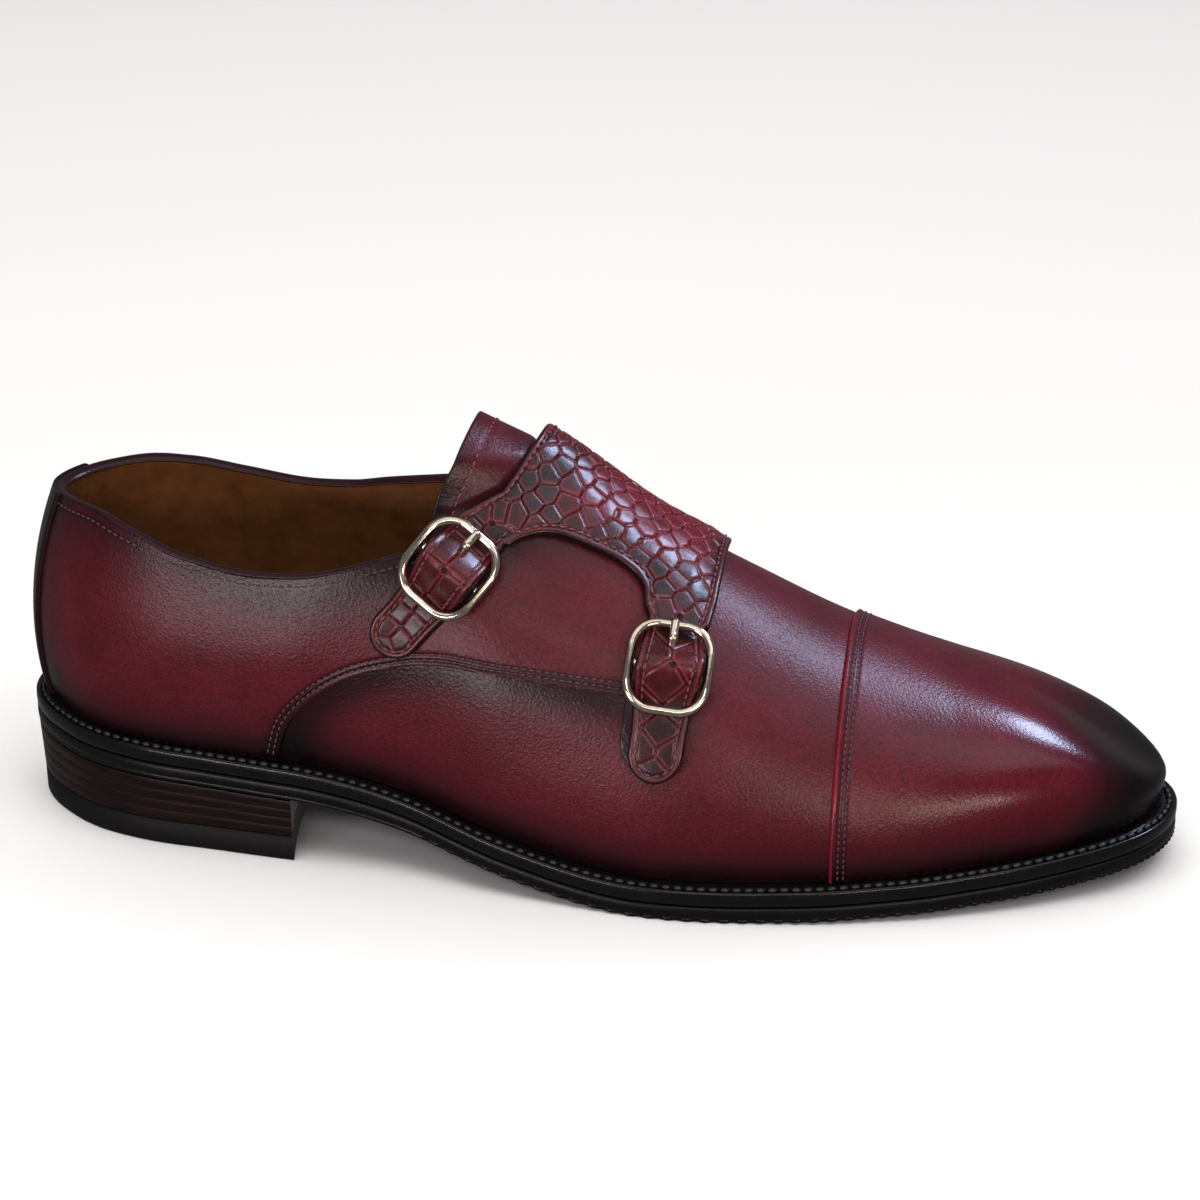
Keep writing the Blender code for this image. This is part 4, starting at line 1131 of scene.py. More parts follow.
def back_strip():
    """The strip over the heel's back seam."""
    around = np.linspace(-STRIP_REACH, STRIP_REACH, 41)
    high = topline_rise(0.0, -1.0)
    limit = np.array([topline_rise(abs(a), 1.0 if a < 0 else -1.0) for a in around])[:, None]
    rises = rises_at(0.0, -1.0, 0.0, high, 60)
    side = np.where(around < 0, 1.0, -1.0)[:, None]
    across = side * (1 - rises[None, :] / high * limit)
    turn = np.repeat(np.abs(around)[:, None], 60, axis=1)
    flat = last_point(turn, across)
    edge = np.minimum(*(np.linalg.norm(flat - end, axis=-1) for end in (flat[:1], flat[-1:])))
    seat = GAP + QUARTER_THICKNESS + SEAT_PLAY
    out = wave(flat)
    outer = skin_point(turn, across, out + seat + BACK_STRIP_THICKNESS - rounded(edge, 0.6 * MM))[0]
    inner = skin_point(turn, across, out + seat)[0]
    index = np.arange(turn.size).reshape(turn.shape)
    piece = sheet(
        "back_strip_leather", outer.reshape(-1, 3), inner.reshape(-1, 3), index, (DARK_CALF,) * 3
    )
    return place(piece, ["back_strip"])


back_strip()

# %% [markdown]
# ## The tongue
# A tongue of the same calf lies under the flap and shows behind it. It rises clear of the collar,
# and one row of stitches runs along its free edge, five millimetres inside.


# %% The tongue
TONGUE_ROW = 5.0 * MM


def tongue():
    """The tongue, under the vamp's front and risen clear of it in the opening. Gives the line that
    its stitches follow."""
    across = np.linspace(-0.56, 0.56, 120)
    back = TONGUE["collar_side"](across)[:, None]
    front = TONGUE["toe_side"](across)[:, None]
    share = np.concatenate([[0, 0.0006, 0.002, 0.0045, 0.009], np.linspace(0.016, 1, 80)])
    along = back + (front - back) * share[None, :]
    wide = np.repeat(across[:, None], len(share), axis=1)
    reach = 0.25 + 2.3 * np.clip(0.455 - along, 0, None)
    free = smoothstep((0.480 - along) / 0.045) * smoothstep((reach - np.abs(wide)) / 0.20)
    top = -UPPER_WALL - TONGUE_SEAT + (UPPER_WALL + TONGUE_SEAT + TONGUE_LIFT) * free
    turn = turn_of(along)
    flat = last_point(turn, wide)
    edge = np.linalg.norm(flat - flat[:, :1], axis=-1)
    channel = 0.12 * MM * band(edge, TONGUE_ROW, 0.7 * MM)
    outer = skin_point(turn, wide, top - rounded(edge, 0.5 * MM) - channel)[0]
    inner = skin_point(turn, wide, top - TONGUE_THICKNESS)[0]
    wax = 0.35 * band(edge, 0.0, 3 * MM) + 0.25 * smoothstep((along - 0.40) / 0.04)
    wax = wax + 0.4 * smoothstep((np.abs(wide) - 0.12) / 0.2)
    index = np.arange(turn.size).reshape(turn.shape)
    piece = sheet(
        "tongue_leather", outer.reshape(-1, 3), inner.reshape(-1, 3), index, (CALF, LINING, EDGE_PAINT),
        {"burnish": np.clip(wax.reshape(-1), 0, 1)},
    )
    place(piece, ["tongue"])
    row = np.argmin(np.abs(edge - TONGUE_ROW), axis=1)
    every = np.arange(len(across))
    line = skin_point(turn[every, row], across, top[every, row])
    shown = np.abs(across) < 0.45
    return line[0][shown], line[1][shown]


TONGUE_LINE = tongue()

# %% [markdown]
# ## The flap and its straps
# The flap closes over the instep and ends in two straps, one through each buckle. On the real shoe it
# is one cut of leather, so it is one grid here: the band over the ridge, the arch between the straps,
# and the two straps, which hump over the buckles' bars. The reptile plates grow from seeds: on the
# band in staggered rows with a fixed random shift, on the straps from a short list. Each point of the
# grid belongs to its nearest seed, and the groove lies half way to the next seed.


# %% The straps' lines
def strap_line(table):
    """The middle line of a strap: its place on the last at a distance from the buckle's bar."""
    knots = np.arange(len(table), dtype=float)
    along = smooth_curve(knots, [row[0] for row in table])
    across = smooth_curve(knots, [row[1] for row in table])
    q = np.linspace(0, len(table) - 1, 301)
    length = lengths_along(last_point(turn_of(along(q)), across(q)))
    length -= np.interp(1.0, q, length)

    def at(distance):
        here = np.interp(distance, length, q)
        past = np.asarray(distance) - np.clip(distance, length[0], length[-1])
        past = past / (length[-1] - length[-20])
        a = along(here) + past * (along(q[-1]) - along(q[-20]))
        c = across(here) + past * (across(q[-1]) - across(q[-20]))
        return turn_of(a), c

    return at


def strap_frame(line, distance):
    """The point, normal, direction and sideways direction of a strap, with the steps of turn and
    across that move one metre sideways."""
    turn, across = line(distance)
    point, normal = skin_point(turn, across, np.zeros(np.shape(turn)))
    ahead = last_point(*line(distance + 0.5 * MM)) - last_point(*line(distance - 0.5 * MM))
    ahead /= np.linalg.norm(ahead, axis=-1, keepdims=True)
    beside = np.cross(normal, ahead)
    beside /= np.linalg.norm(beside, axis=-1, keepdims=True)
    return point, normal, ahead, beside, *step_sideways(turn, across, beside)


def buckle_seat(table):
    """The middle of a buckle's frame: the point of the last under it, its three directions and the
    height of the frame's middle over that point."""
    line = strap_line(table)
    point, normal, ahead, beside, _, _ = strap_frame(line, np.array([0.0]))
    ends = np.array([-1.0, 1.0]) * (BUCKLE_LENGTH - BUCKLE_WIRE) / 2
    cover = 3 * GAP + QUARTER_THICKNESS + FLAP_THICKNESS + BUCKLE_PLAY + BUCKLE_WIRE / 2
    carried = strap_frame(line, ends)
    height = np.sum((carried[0] + carried[1] * cover - point[0]) * normal[0], axis=-1).mean()
    return point[0], normal[0], ahead[0], beside[0], height + BUCKLE_BOW


STRAPS = {"rear": REAR_STRAP_TABLE, "front": FRONT_STRAP_TABLE}
for which, table in STRAPS.items():
    print(which, "buckle's middle at", np.round(buckle_seat(table)[0] / MM, 1), "mm")

# %% The flap's grid
SKIP = 3
STRAP_CELLS = 51
ARCH_CELLS = 93
HALF_STRAP = STRAP_WIDTH / 2
STRAP_SIDES = np.array([-1, -0.53, -0.18, 0.18, 0.53, 1]) * HALF_STRAP
FLAP_SEAT = GAP + QUARTER_THICKNESS + GAP
STRAP_UNITS = 5
FLAP_UNITS = 18
BAND_END = -0.23


def flap_columns():
    """Where the grid's columns stand, in units of the rim's table, and the straps' side places."""
    near = np.array([0, 0.09, 0.22, 0.40]) * MM
    middle = np.linspace(near[-1], STRAP_WIDTH - near[-1], STRAP_CELLS - 5)[1:-1]
    fine = np.concatenate([near, middle, STRAP_WIDTH - near[::-1]]) - HALF_STRAP
    strap = np.interp(fine, STRAP_SIDES, np.arange(6.0))
    arch = np.linspace(STRAP_UNITS, FLAP_UNITS - STRAP_UNITS, ARCH_CELLS + 1)[1:-1]
    return np.concatenate([strap, arch, strap + FLAP_UNITS - STRAP_UNITS]), fine


def band_row(level, units):
    """Turn and across of a row of the band at a level of across."""
    rim_along = RIM["along"](units)
    rim_across = RIM["across"](units)
    share = units / FLAP_UNITS
    rim_share = (rim_along - rim_along[0]) / (rim_along[-1] - rim_along[0])
    near = smoothstep(max(0.0, (0.15 - level) / 0.38)) ** 1.3
    mixed = share + (rim_share - share) * near
    back, front = FLAP["collar_side"](level), FLAP["toe_side"](level)
    sag = (rim_across - rim_across.min()) - (rim_across.max() - rim_across.min())
    return turn_of(back + (front - back) * mixed), level + sag * near * 0.55


def flap_grid():
    """Turn and across, the straps' distances from the bar and places across their width, the row of
    the arch's rim and the row where the straps begin."""
    units, fine = flap_columns()
    n = len(fine)
    rows = []
    levels = np.concatenate([
        [0.56, 0.5592, 0.558, 0.5562], np.linspace(0.553, 0.16, 79)[:-1],
        np.linspace(0.16, BAND_END, 150),
    ])
    for level in levels:
        rows.append(band_row(level, units))
    before = rows[-1]
    rim = (turn_of(RIM["along"](units)), RIM["across"](units))
    for t in np.concatenate([np.linspace(0, 1, 49)[1:-1] * 0.97, [0.978, 0.987, 0.995, 1.0]]):
        rows.append(tuple(a + (b - a) * t for a, b in zip(before, rim)))
    rim_row = len(rows) - 1
    starts = []
    for table in STRAPS.values():
        line = strap_line(table)
        frame = strap_frame(line, np.array([STRAP_START]))
        middle = line(np.array([STRAP_START]))
        starts.append((middle[0] + frame[4] * fine, middle[1] + frame[5] * fine))
    gone = np.full(len(units) - 2 * n, 0.5)
    first = tuple(np.concatenate([starts[0][k], gone, starts[1][k]]) for k in (0, 1))
    for t in np.linspace(0, 1, 23)[1:]:
        rows.append(tuple(a + (b - a) * t for a, b in zip(rim, first)))
    tip = STRAP_TIP - HALF_STRAP
    strap_row = len(rows)
    ends = tip + HALF_STRAP * np.sin(np.radians(np.linspace(0, 87, 33)))[1:]
    before_tip = 111 + (1 - strap_row - len(ends)) % SKIP
    distances = np.concatenate([np.linspace(STRAP_START, tip, before_tip + 1)[1:], ends])
    narrow = np.sqrt(1 - np.clip((distances - tip) / HALF_STRAP, 0, 1) ** 2)
    swell = STRAP_SWELL * np.exp(-((distances / SWELL_REACH) ** 2))
    narrow *= 1 + swell - STRAP_TAPER * smoothstep((distances - SWELL_REACH) / SWELL_REACH)
    for d, thin in zip(distances, narrow):
        made = []
        for table in STRAPS.values():
            line = strap_line(table)
            middle = line(d)
            frame = strap_frame(line, np.array([d]))
            made.append((middle[0] + frame[4][0] * fine * thin, middle[1] + frame[5][0] * fine * thin))
        rows.append(tuple(np.concatenate([made[0][k], gone, made[1][k]]) for k in (0, 1)))
    turn = np.array([row[0] for row in rows])
    across = np.array([row[1] for row in rows])
    # The straps leave the band without a kink once the rows between them are smoothed.
    weight = np.zeros(turn.shape)
    weight[rim_row - 44 : strap_row + 12] = 1.0
    weight[:, n:-n] = 0
    for grid in (turn, across):
        for _ in range(50):
            soft = grid.copy()
            soft[1:-1] = (grid[:-2] + 2 * grid[1:-1] + grid[2:]) / 4
            grid += (soft - grid) * weight
    return turn, across, distances, fine, rim_row, strap_row


FLAP_TURN, FLAP_ACROSS, STRAP_DISTANCES, STRAP_WIDTHS, RIM_ROW, STRAP_ROW = flap_grid()
assert all(size % SKIP == 0 for size in (RIM_ROW, FLAP_TURN.shape[0] - 1, FLAP_TURN.shape[1] - 1))
print("flap grid:", FLAP_TURN.shape, "rim at row", RIM_ROW, "straps from row", STRAP_ROW)

# %% The plates' seeds
SEED_COLUMNS = 10
rng = np.random.default_rng(11)


def band_seeds():
    """Seeds over the band: staggered rows, closer on the crest, with a random shift."""
    seeds = []
    level = 0.60
    row = 0
    while level > -0.40:
        size = 0.056 if abs(level - 0.03) > 0.10 else 0.046
        for k in range(-1, SEED_COLUMNS + 1):
            share = (k + 0.4 + 0.5 * (row % 2) + rng.uniform(-0.22, 0.22)) / (SEED_COLUMNS + 0.3)
            at = level + rng.uniform(-0.22, 0.22) * size
            back, front = FLAP["collar_side"](at), FLAP["toe_side"](at)
            rim = RIM["across"](np.clip(share, 0, 1) * FLAP_UNITS)
            if at < rim + 0.015:
                continue
            seeds.append(skin_point(turn_of(back + (front - back) * share), at, np.zeros(()))[0])
        level -= size
        row += 1
    return seeds


# Seeds of the straps' plates: the distance from the bar and the place sideways, in mm.
STRAP_SEEDS = {
    "rear": (
        (-14.8, -4.0), (-14.2, 3.8), (-9.6, -3.6), (-9.0, 3.9), (-4.4, -3.6), (-4.0, 3.5),
        (4.2, -3.3), (4.6, 3.6), (11.4, -3.9), (10.8, 3.3), (16.0, -3.5), (15.8, 3.5),
        (20.6, -3.1), (20.8, 3.0), (25.8, 0.3),
    ),
    "front": (
        (-14.6, -3.8), (-14.0, 3.8), (-8.2, 0.6), (-2.2, -4.9), (-1.6, 4.9), (3.8, -0.5), (9.4, -4.8),
        (9.0, 4.6), (14.2, 0.4), (19.0, -4.1), (19.2, 4.2), (24.6, -0.3),
    ),
}


def strap_seeds(which):
    """The seeds of one strap, as points on the last."""
    line = strap_line(STRAPS[which])
    made = []
    for distance, beside in STRAP_SEEDS[which]:
        frame = strap_frame(line, np.array([distance * MM]))
        made.append(frame[0][0] + frame[3][0] * beside * MM)
    return made


SEEDS = np.array(band_seeds() + strap_seeds("rear") + strap_seeds("front"))
print(len(SEEDS), "plates")


# %% The holes' places
# Each hole's strap, its distance from the bar and its place sideways, in mm.
HOLES = (("rear", 0.6, 0.2), ("rear", -14.6, 0.3), ("front", 0.2, 0.8), ("front", -12.6, 0.2))


def hole_frames():
    """For each punched hole: its point on the last, the normal and the strap's two directions."""
    made = []
    for which, distance, beside in HOLES:
        frame = strap_frame(strap_line(STRAPS[which]), np.array([distance * MM]))
        made.append((frame[0][0] + frame[3][0] * beside * MM, frame[1][0], frame[2][0], frame[3][0]))
    return tuple(np.array(part) for part in zip(*made))


HOLE_FRAMES = hole_frames()
print(len(HOLES), "punched holes")

# %% The flap's relief
PLATE_RISE = 0.40 * MM
PLATE_DOME = 0.05 * MM
GROOVE = 0.50 * MM
PLATE_TILT = 0.060
STRAP_CROWN = 0.9 * MM
PIT_DEPTH = 0.6 * MM
PIT_RADIUS = 0.60 * MM
HOLE_CLEARING = 1.1 * MM
FLAP_ROW = 2.0 * MM


def groove_distance(points, seeds):
    """How far each point lies from the nearest border between two seeds, and its own seed."""
    gaps = np.zeros(len(points))
    owners = np.zeros(len(points), int)
    for start in range(0, len(points), 3000):
        part = points[start : start + 3000]
        squared = ((part[:, None] - seeds[None]) ** 2).sum(axis=-1)
        order = np.argpartition(squared, 5, axis=1)[:, :5]
        near = np.take_along_axis(squared, order, axis=1)
        rank = np.argsort(near, axis=1)
        order = np.take_along_axis(order, rank, axis=1)
        near = np.take_along_axis(near, rank, axis=1)
        own = order[:, 0]
        between = np.linalg.norm(seeds[order[:, 1:]] - seeds[own][:, None], axis=-1)
        gaps[start : start + 3000] = ((near[:, 1:] - near[:, :1]) / (2 * between)).min(axis=1)
        owners[start : start + 3000] = own
    return gaps, owners


def monk_flap():
    """The embossed flap and straps. Gives the grid's points on the last, the height of the leather's
    face over them and their distances from the cut edge."""
    turn, across = FLAP_TURN, FLAP_ACROSS
    total, columns = turn.shape
    n = len(STRAP_WIDTHS)
    along = along_of(turn)
    crest = smoothstep((0.30 - np.abs(across - 0.04)) / 0.28)
    row = np.arange(total)[:, None]
    rise = FLAP_LIFT * crest * (1 - smoothstep((along - 0.44) / 0.12))
    fall = (FLAP_SEAT - GAP) * 0.6 * smoothstep((along - 0.588) / 0.026)
    fall = fall * smoothstep((across + 0.40) / 0.12)
    seat = np.full(turn.shape, FLAP_SEAT)
    crown = np.zeros(turn.shape)
    fade = 1 - smoothstep((row - RIM_ROW + 40.0) / 60)
    seat = seat + (rise - fall) * fade
    for k, table in enumerate(STRAPS.values()):
        first = 0 if k == 0 else columns - n
        height = buckle_seat(table)[4] + BAR_WIRE / 2 + GAP + BAR_PLAY - FLAP_SEAT
        hump = height * np.cos(np.clip(np.abs(STRAP_DISTANCES) / BAR_REACH, 0, 1) * math.pi / 2) ** 2
        seat[STRAP_ROW:, first : first + n] += hump[:, None]
        crown[STRAP_ROW:, first : first + n] = STRAP_CROWN * np.outer(
            np.exp(-((STRAP_DISTANCES / SWELL_REACH) ** 2)), 1 - (STRAP_WIDTHS / HALF_STRAP) ** 2
        )
    flat = last_point(turn, across)
    keep = np.ones((total - 1, columns - 1), bool)
    keep[RIM_ROW:, n - 1 : columns - n] = False
    edge_points = np.concatenate([
        flat[:, 0], flat[:, -1], flat[0], flat[RIM_ROW, n - 1 : columns - n + 1],
        flat[RIM_ROW:, n - 1], flat[RIM_ROW:, columns - n], flat[-1, :n], flat[-1, columns - n :],
    ])
    points = flat.reshape(-1, 3)
    from_edge = distance_to(points, edge_points)
    gaps, owners = groove_distance(points, SEEDS)
    margin = smoothstep((from_edge - 1.5 * MM) / (1.2 * MM))
    plate = 1 - (1 - smoothstep(gaps / GROOVE)) * margin
    dome = PLATE_DOME * smoothstep(gaps / (2.4 * MM)) * margin
    rng = np.random.default_rng(5)
    lean = rng.normal(size=(len(SEEDS), 3))
    lean *= PLATE_TILT / np.linalg.norm(lean, axis=1, keepdims=True)
    tilt = ((points - SEEDS[owners]) * lean[owners]).sum(axis=1) * margin * smoothstep(gaps / MM)
    from_hole = np.linalg.norm(points[:, None] - HOLE_FRAMES[0][None], axis=-1).min(axis=1)
    clear = smoothstep((from_hole - HOLE_CLEARING) / (0.6 * MM))
    pit = 1 - smoothstep((from_hole - PIT_RADIUS) / (0.35 * MM))
    relief = (PLATE_RISE * (plate - 1) + dome + tilt) * clear - PIT_DEPTH * pit
    seam = 0.20 * MM * band(from_edge, FLAP_ROW, 0.40 * MM)
    lip = 0.12 * MM * band(from_edge, 0.9 * MM, 0.4 * MM)
    top = (seat + crown).reshape(-1) + FLAP_THICKNESS + relief - seam + lip
    top = top - rounded(from_edge, 0.55 * MM)
    outer = skin_point(turn.reshape(-1), across.reshape(-1), top)[0]
    inner = skin_point(turn.reshape(-1), across.reshape(-1), seat.reshape(-1))[0]
    tint = rng.uniform(-0.18, 0.18, len(SEEDS))[owners]
    share = np.tile(np.arange(columns) / (columns - 1), total)
    level = across.reshape(-1)
    toward_collar = 1 - smoothstep((share - 0.22) / 0.30)
    toward_toe = smoothstep((share - 0.86) / 0.12)
    lateral = smoothstep((0.02 - level) / 0.16)
    arch = smoothstep((-0.12 - level) / 0.14)
    shade = np.maximum(toward_collar * (0.45 + 0.5 * lateral), toward_toe * 0.95)
    shade = np.clip(np.maximum(shade, arch * 0.9) + tint, 0, 1)
    along_strap = np.zeros(total)
    along_strap[STRAP_ROW:] = STRAP_DISTANCES
    under_frame = np.repeat(band(along_strap, 0.0, 8.5 * MM), columns)
    on_strap = np.repeat(np.arange(total) >= STRAP_ROW, columns)
    shade = np.where(on_strap, 0.9 - 0.35 * under_frame + tint * 0.6, shade)
    # Painted highlight: each plate's rounded border is marked for the lighter red. Along the cut edge
    # the second band is the folded edge's own red line.
    border = band(gaps, GROOVE, 0.17 * MM) * 0.75 * margin
    border = np.maximum(border, band(from_edge, 1.0 * MM, 0.3 * MM) * 0.45)
    painted = 1 - smoothstep((from_edge - 0.55 * MM) / (0.3 * MM))
    # Painted shade: the stitch channel along the edge is shaded dark.
    channel = band(from_edge, FLAP_ROW, 0.55 * MM) * 0.9
    shade = np.maximum(np.maximum(shade, channel), painted)
    # The painted edge and the pit under each hole take the groove's dark colour; in the pit that is
    # painted shade.
    plate = np.minimum(plate, 1 - np.maximum(painted, pit))
    index = np.arange(turn.size).reshape(turn.shape)
    piece = sheet(
        "monk_flap_leather", outer, inner, index, (EMBOSSED, LINING, EDGE_PAINT),
        {"plate": plate, "rim": np.clip(border, 0, 1), "shade": np.clip(shade, 0, 1)}, keep, SKIP,
    )
    place(piece, ["monk_flap"])
    return points, top.reshape(turn.shape), from_edge.reshape(turn.shape)


FLAP_FLAT, FLAP_TOP, FLAP_EDGE = monk_flap()

# %% [markdown]
# ## Stitches
# Every stitch on the shoe is the same small thing repeated along a line: a short, plump piece of
# thread with its ends sunk in the leather. Geometry Nodes do this. The tree resamples a line at the
# stitch's pitch, puts a stretched ball on each point, turns it along the line with its back to the
# leather, and turns the copies into one real mesh. Each line is a mesh of edges with the leather's
# normal stored on its points.


# %% The stitch tree
def stitch_tree():
    """A tree that turns lines with a normal, called rise, into rows of stitches."""
    tree = bpy.data.node_groups.new("stitch_rows", "GeometryNodeTree")
    face = tree.interface
    face.new_socket("Geometry", in_out="INPUT", socket_type="NodeSocketGeometry")
    for name in ("Pitch", "Length", "Width"):
        face.new_socket(name, in_out="INPUT", socket_type="NodeSocketFloat")
    face.new_socket("Material", in_out="INPUT", socket_type="NodeSocketMaterial")
    face.new_socket("Geometry", in_out="OUTPUT", socket_type="NodeSocketGeometry")
    given = add(tree, "NodeGroupInput", out=None).outputs
    curve = add(tree, "GeometryNodeMeshToCurve", {"Mesh": given["Geometry"]})
    spaced = add(
        tree, "GeometryNodeResampleCurve", {"Curve": curve, "Length": given["Pitch"]}, mode="LENGTH"
    )
    ball = add(tree, "GeometryNodeMeshUVSphere", {"Segments": 8, "Rings": 6, "Radius": 0.5})
    size = add(
        tree, "ShaderNodeCombineXYZ", {"X": given["Length"], "Y": given["Width"], "Z": given["Width"]}
    )
    thread = add(tree, "GeometryNodeTransform", {"Geometry": ball, "Scale": size})
    forward = add(tree, "GeometryNodeInputTangent")
    rise = add(
        tree, "GeometryNodeInputNamedAttribute", {"Name": "rise"}, "Attribute",
        data_type="FLOAT_VECTOR",
    )
    upright = add(tree, "FunctionNodeAlignRotationToVector", {"Vector": rise}, axis="Z")
    turned = add(
        tree, "FunctionNodeAlignRotationToVector", {"Rotation": upright, "Vector": forward},
        axis="X", pivot_axis="Z",
    )
    copies = add(
        tree, "GeometryNodeInstanceOnPoints",
        {"Points": spaced, "Instance": thread, "Rotation": turned},
    )
    real = add(tree, "GeometryNodeRealizeInstances", {"Geometry": copies})
    soft = add(tree, "GeometryNodeSetShadeSmooth", {"Geometry": real})
    dyed = add(tree, "GeometryNodeSetMaterial", {"Geometry": soft, "Material": given["Material"]})
    add(tree, "NodeGroupOutput", {"Geometry": dyed}, out=None)
    return tree


STITCH_TREE = stitch_tree()


def stitches(name, lines, sizes, thread):
    """A mesh of stitches along lines, each given as its points and the leather's normals. sizes are
    the rows' pitch and each stitch's length and width, in mm."""
    points = np.concatenate([line[0] for line in lines])
    normals = np.concatenate([line[1] for line in lines])
    edges = []
    start = 0
    for line in lines:
        edges += [(start + k, start + k + 1) for k in range(len(line[0]) - 1)]
        start += len(line[0])
    mesh = bpy.data.meshes.new(name + "_line")
    mesh.from_pydata(points.tolist(), edges, [])
    rise = mesh.attributes.new("rise", "FLOAT_VECTOR", "POINT")
    rise.data.foreach_set("vector", normals.astype(np.float32).reshape(-1))
    line_object = bpy.data.objects.new(name + "_line", mesh)
    bpy.context.scene.collection.objects.link(line_object)
    modifier = line_object.modifiers.new("stitches", "NODES")
    modifier.node_group = STITCH_TREE
    values = {name: size * MM for name, size in zip(("Pitch", "Length", "Width"), sizes)}
    values["Material"] = thread
    for item in STITCH_TREE.interface.items_tree:
        if item.in_out == "INPUT" and item.name in values:
            modifier[item.identifier] = values[item.name]
    bpy.context.view_layer.update()
    grown = line_object.evaluated_get(bpy.context.evaluated_depsgraph_get())
    result = bpy.data.meshes.new_from_object(grown)
    bpy.data.objects.remove(line_object)
    result.name = name
    made = bpy.data.objects.new(name, result)
    bpy.context.scene.collection.objects.link(made)
    return place(made, [])


print("the stitch tree has", len(STITCH_TREE.nodes), "nodes")

# %% The upper's stitches
QUARTER_TOP = GAP + QUARTER_THICKNESS
THROAT_STITCH = 0.43


def line_on(turn, across, height):
    """A line for stitches, at a height above the last with the panels' hollows."""
    flat = last_point(turn, across)
    return skin_point(turn, across, wave(flat) + height)


def cap_rows():
    """The two rows along the cap's seam, a few millimetres to its toe side."""
    across = np.concatenate([np.linspace(-0.985, -0.004, 120), np.linspace(0.004, 0.985, 120)])
    step = 0.004
    here = last_point(CAP_SEAM, across)
    there = last_point(CAP_SEAM + step, across)
    lines = []
    for distance in CAP_ROWS:
        turn = CAP_SEAM + step * distance / np.linalg.norm(there - here, axis=1)
        lines.append(line_on(turn, across, CAP_THICKNESS - 0.08 * MM))
    return lines


def quarter_rows():
    """The two rows inside each quarter's seam edge."""
    lines = []
    for side in (-1.0, 1.0):
        turn, across = quarter_seam(side)
        for distance in QUARTER_ROWS:
            moved = moved_beside(turn, across, distance * (1.0 if side < 0 else -1.0))
            inside = np.abs(moved[1]) < 0.985
            lines.append(line_on(moved[0][inside], moved[1][inside], QUARTER_TOP - 0.05 * MM))
    return lines


def topline_row():
    """The row below the bead, all round the collar."""
    turn, across = collar_line(THROAT_STITCH)
    away = np.where(across < 0, -1.0, 1.0)
    point = last_point(turn, across)
    step = 0.01
    down = last_point(turn, across + away * step)
    share = TOPLINE_ROW / np.linalg.norm(down - point, axis=1)
    return [line_on(turn, across + away * step * share, QUARTER_TOP + 0.02 * MM)]


for name, lines, sizes, thread in (
    ("cap_stitches", cap_rows(), (1.7, 1.35, 0.56), UPPER_THREAD),
    ("quarter_stitches", quarter_rows(), (1.9, 1.5, 0.60), UPPER_THREAD),
    ("topline_stitches", topline_row(), (2.0, 1.65, 0.60), UPPER_THREAD),
    ("tongue_stitches", [TONGUE_LINE], (2.2, 1.6, 0.60), RED_THREAD),
):
    stitches(name, lines, sizes, thread)


# %% The flap's stitches
def flap_rows():
    """The row inside the flap's edge: along both long sides, the arch and round each strap."""
    n = len(STRAP_WIDTHS)
    columns = FLAP_TURN.shape[1]
    beside = HALF_STRAP - FLAP_ROW
    left = int(np.argmin(np.abs(STRAP_WIDTHS + beside)))
    right = int(np.argmin(np.abs(STRAP_WIDTHS - beside)))
    end = STRAP_ROW + int(np.argmin(np.abs(STRAP_DISTANCES - (STRAP_TIP - HALF_STRAP))))
    arch_row = RIM_ROW - int(np.argmin(np.abs(FLAP_EDGE[RIM_ROW::-1, columns // 2] - FLAP_ROW)))

    def grid_line(rows, cols):
        where = (np.asarray(rows), np.asarray(cols))
        return skin_point(FLAP_TURN[where], FLAP_ACROSS[where], FLAP_TOP[where] + 0.24 * MM)

    def tip_arc(table):
        line = strap_line(table)
        angle = np.radians(np.linspace(-90, 90, 40))
        distance = STRAP_TIP - HALF_STRAP + beside * np.cos(angle)
        side = beside * np.sin(angle)
        middle = line(distance)
        frame = strap_frame(line, distance)
        t = middle[0] + frame[4] * side
        a = middle[1] + frame[5] * side
        return skin_point(t, a, np.full(t.shape, FLAP_SEAT + FLAP_THICKNESS + 0.06 * MM))

    far_left, far_right = columns - n + left, columns - n + right
    lines = []
    for first, column in ((6, left), (6, far_right), (arch_row, right), (arch_row, far_left)):
        rows = np.arange(first, end)
        lines.append(grid_line(rows, np.full(len(rows), column)))
    arch = np.arange(right, far_left + 1)
    lines.append(grid_line(np.full(len(arch), arch_row), arch))
    return lines + [tip_arc(table) for table in STRAPS.values()]


stitches("flap_stitches", flap_rows(), (2.15, 1.7, 0.62), RED_THREAD)

# %% The straps' holes
# The rings of a hole from the outside in: radius and height over the leather, in mm. The first are the
# leather that the punch pushed up, and from DARK_RING on they are the shadow inside.
HOLE_RINGS = (
    (1.30, -0.50), (1.22, -0.02), (1.04, 0.10), (0.86, 0.04), (0.80, -0.12), (0.05, -0.14),
)
HOLE_SIDES = 20
DARK_RING = 3


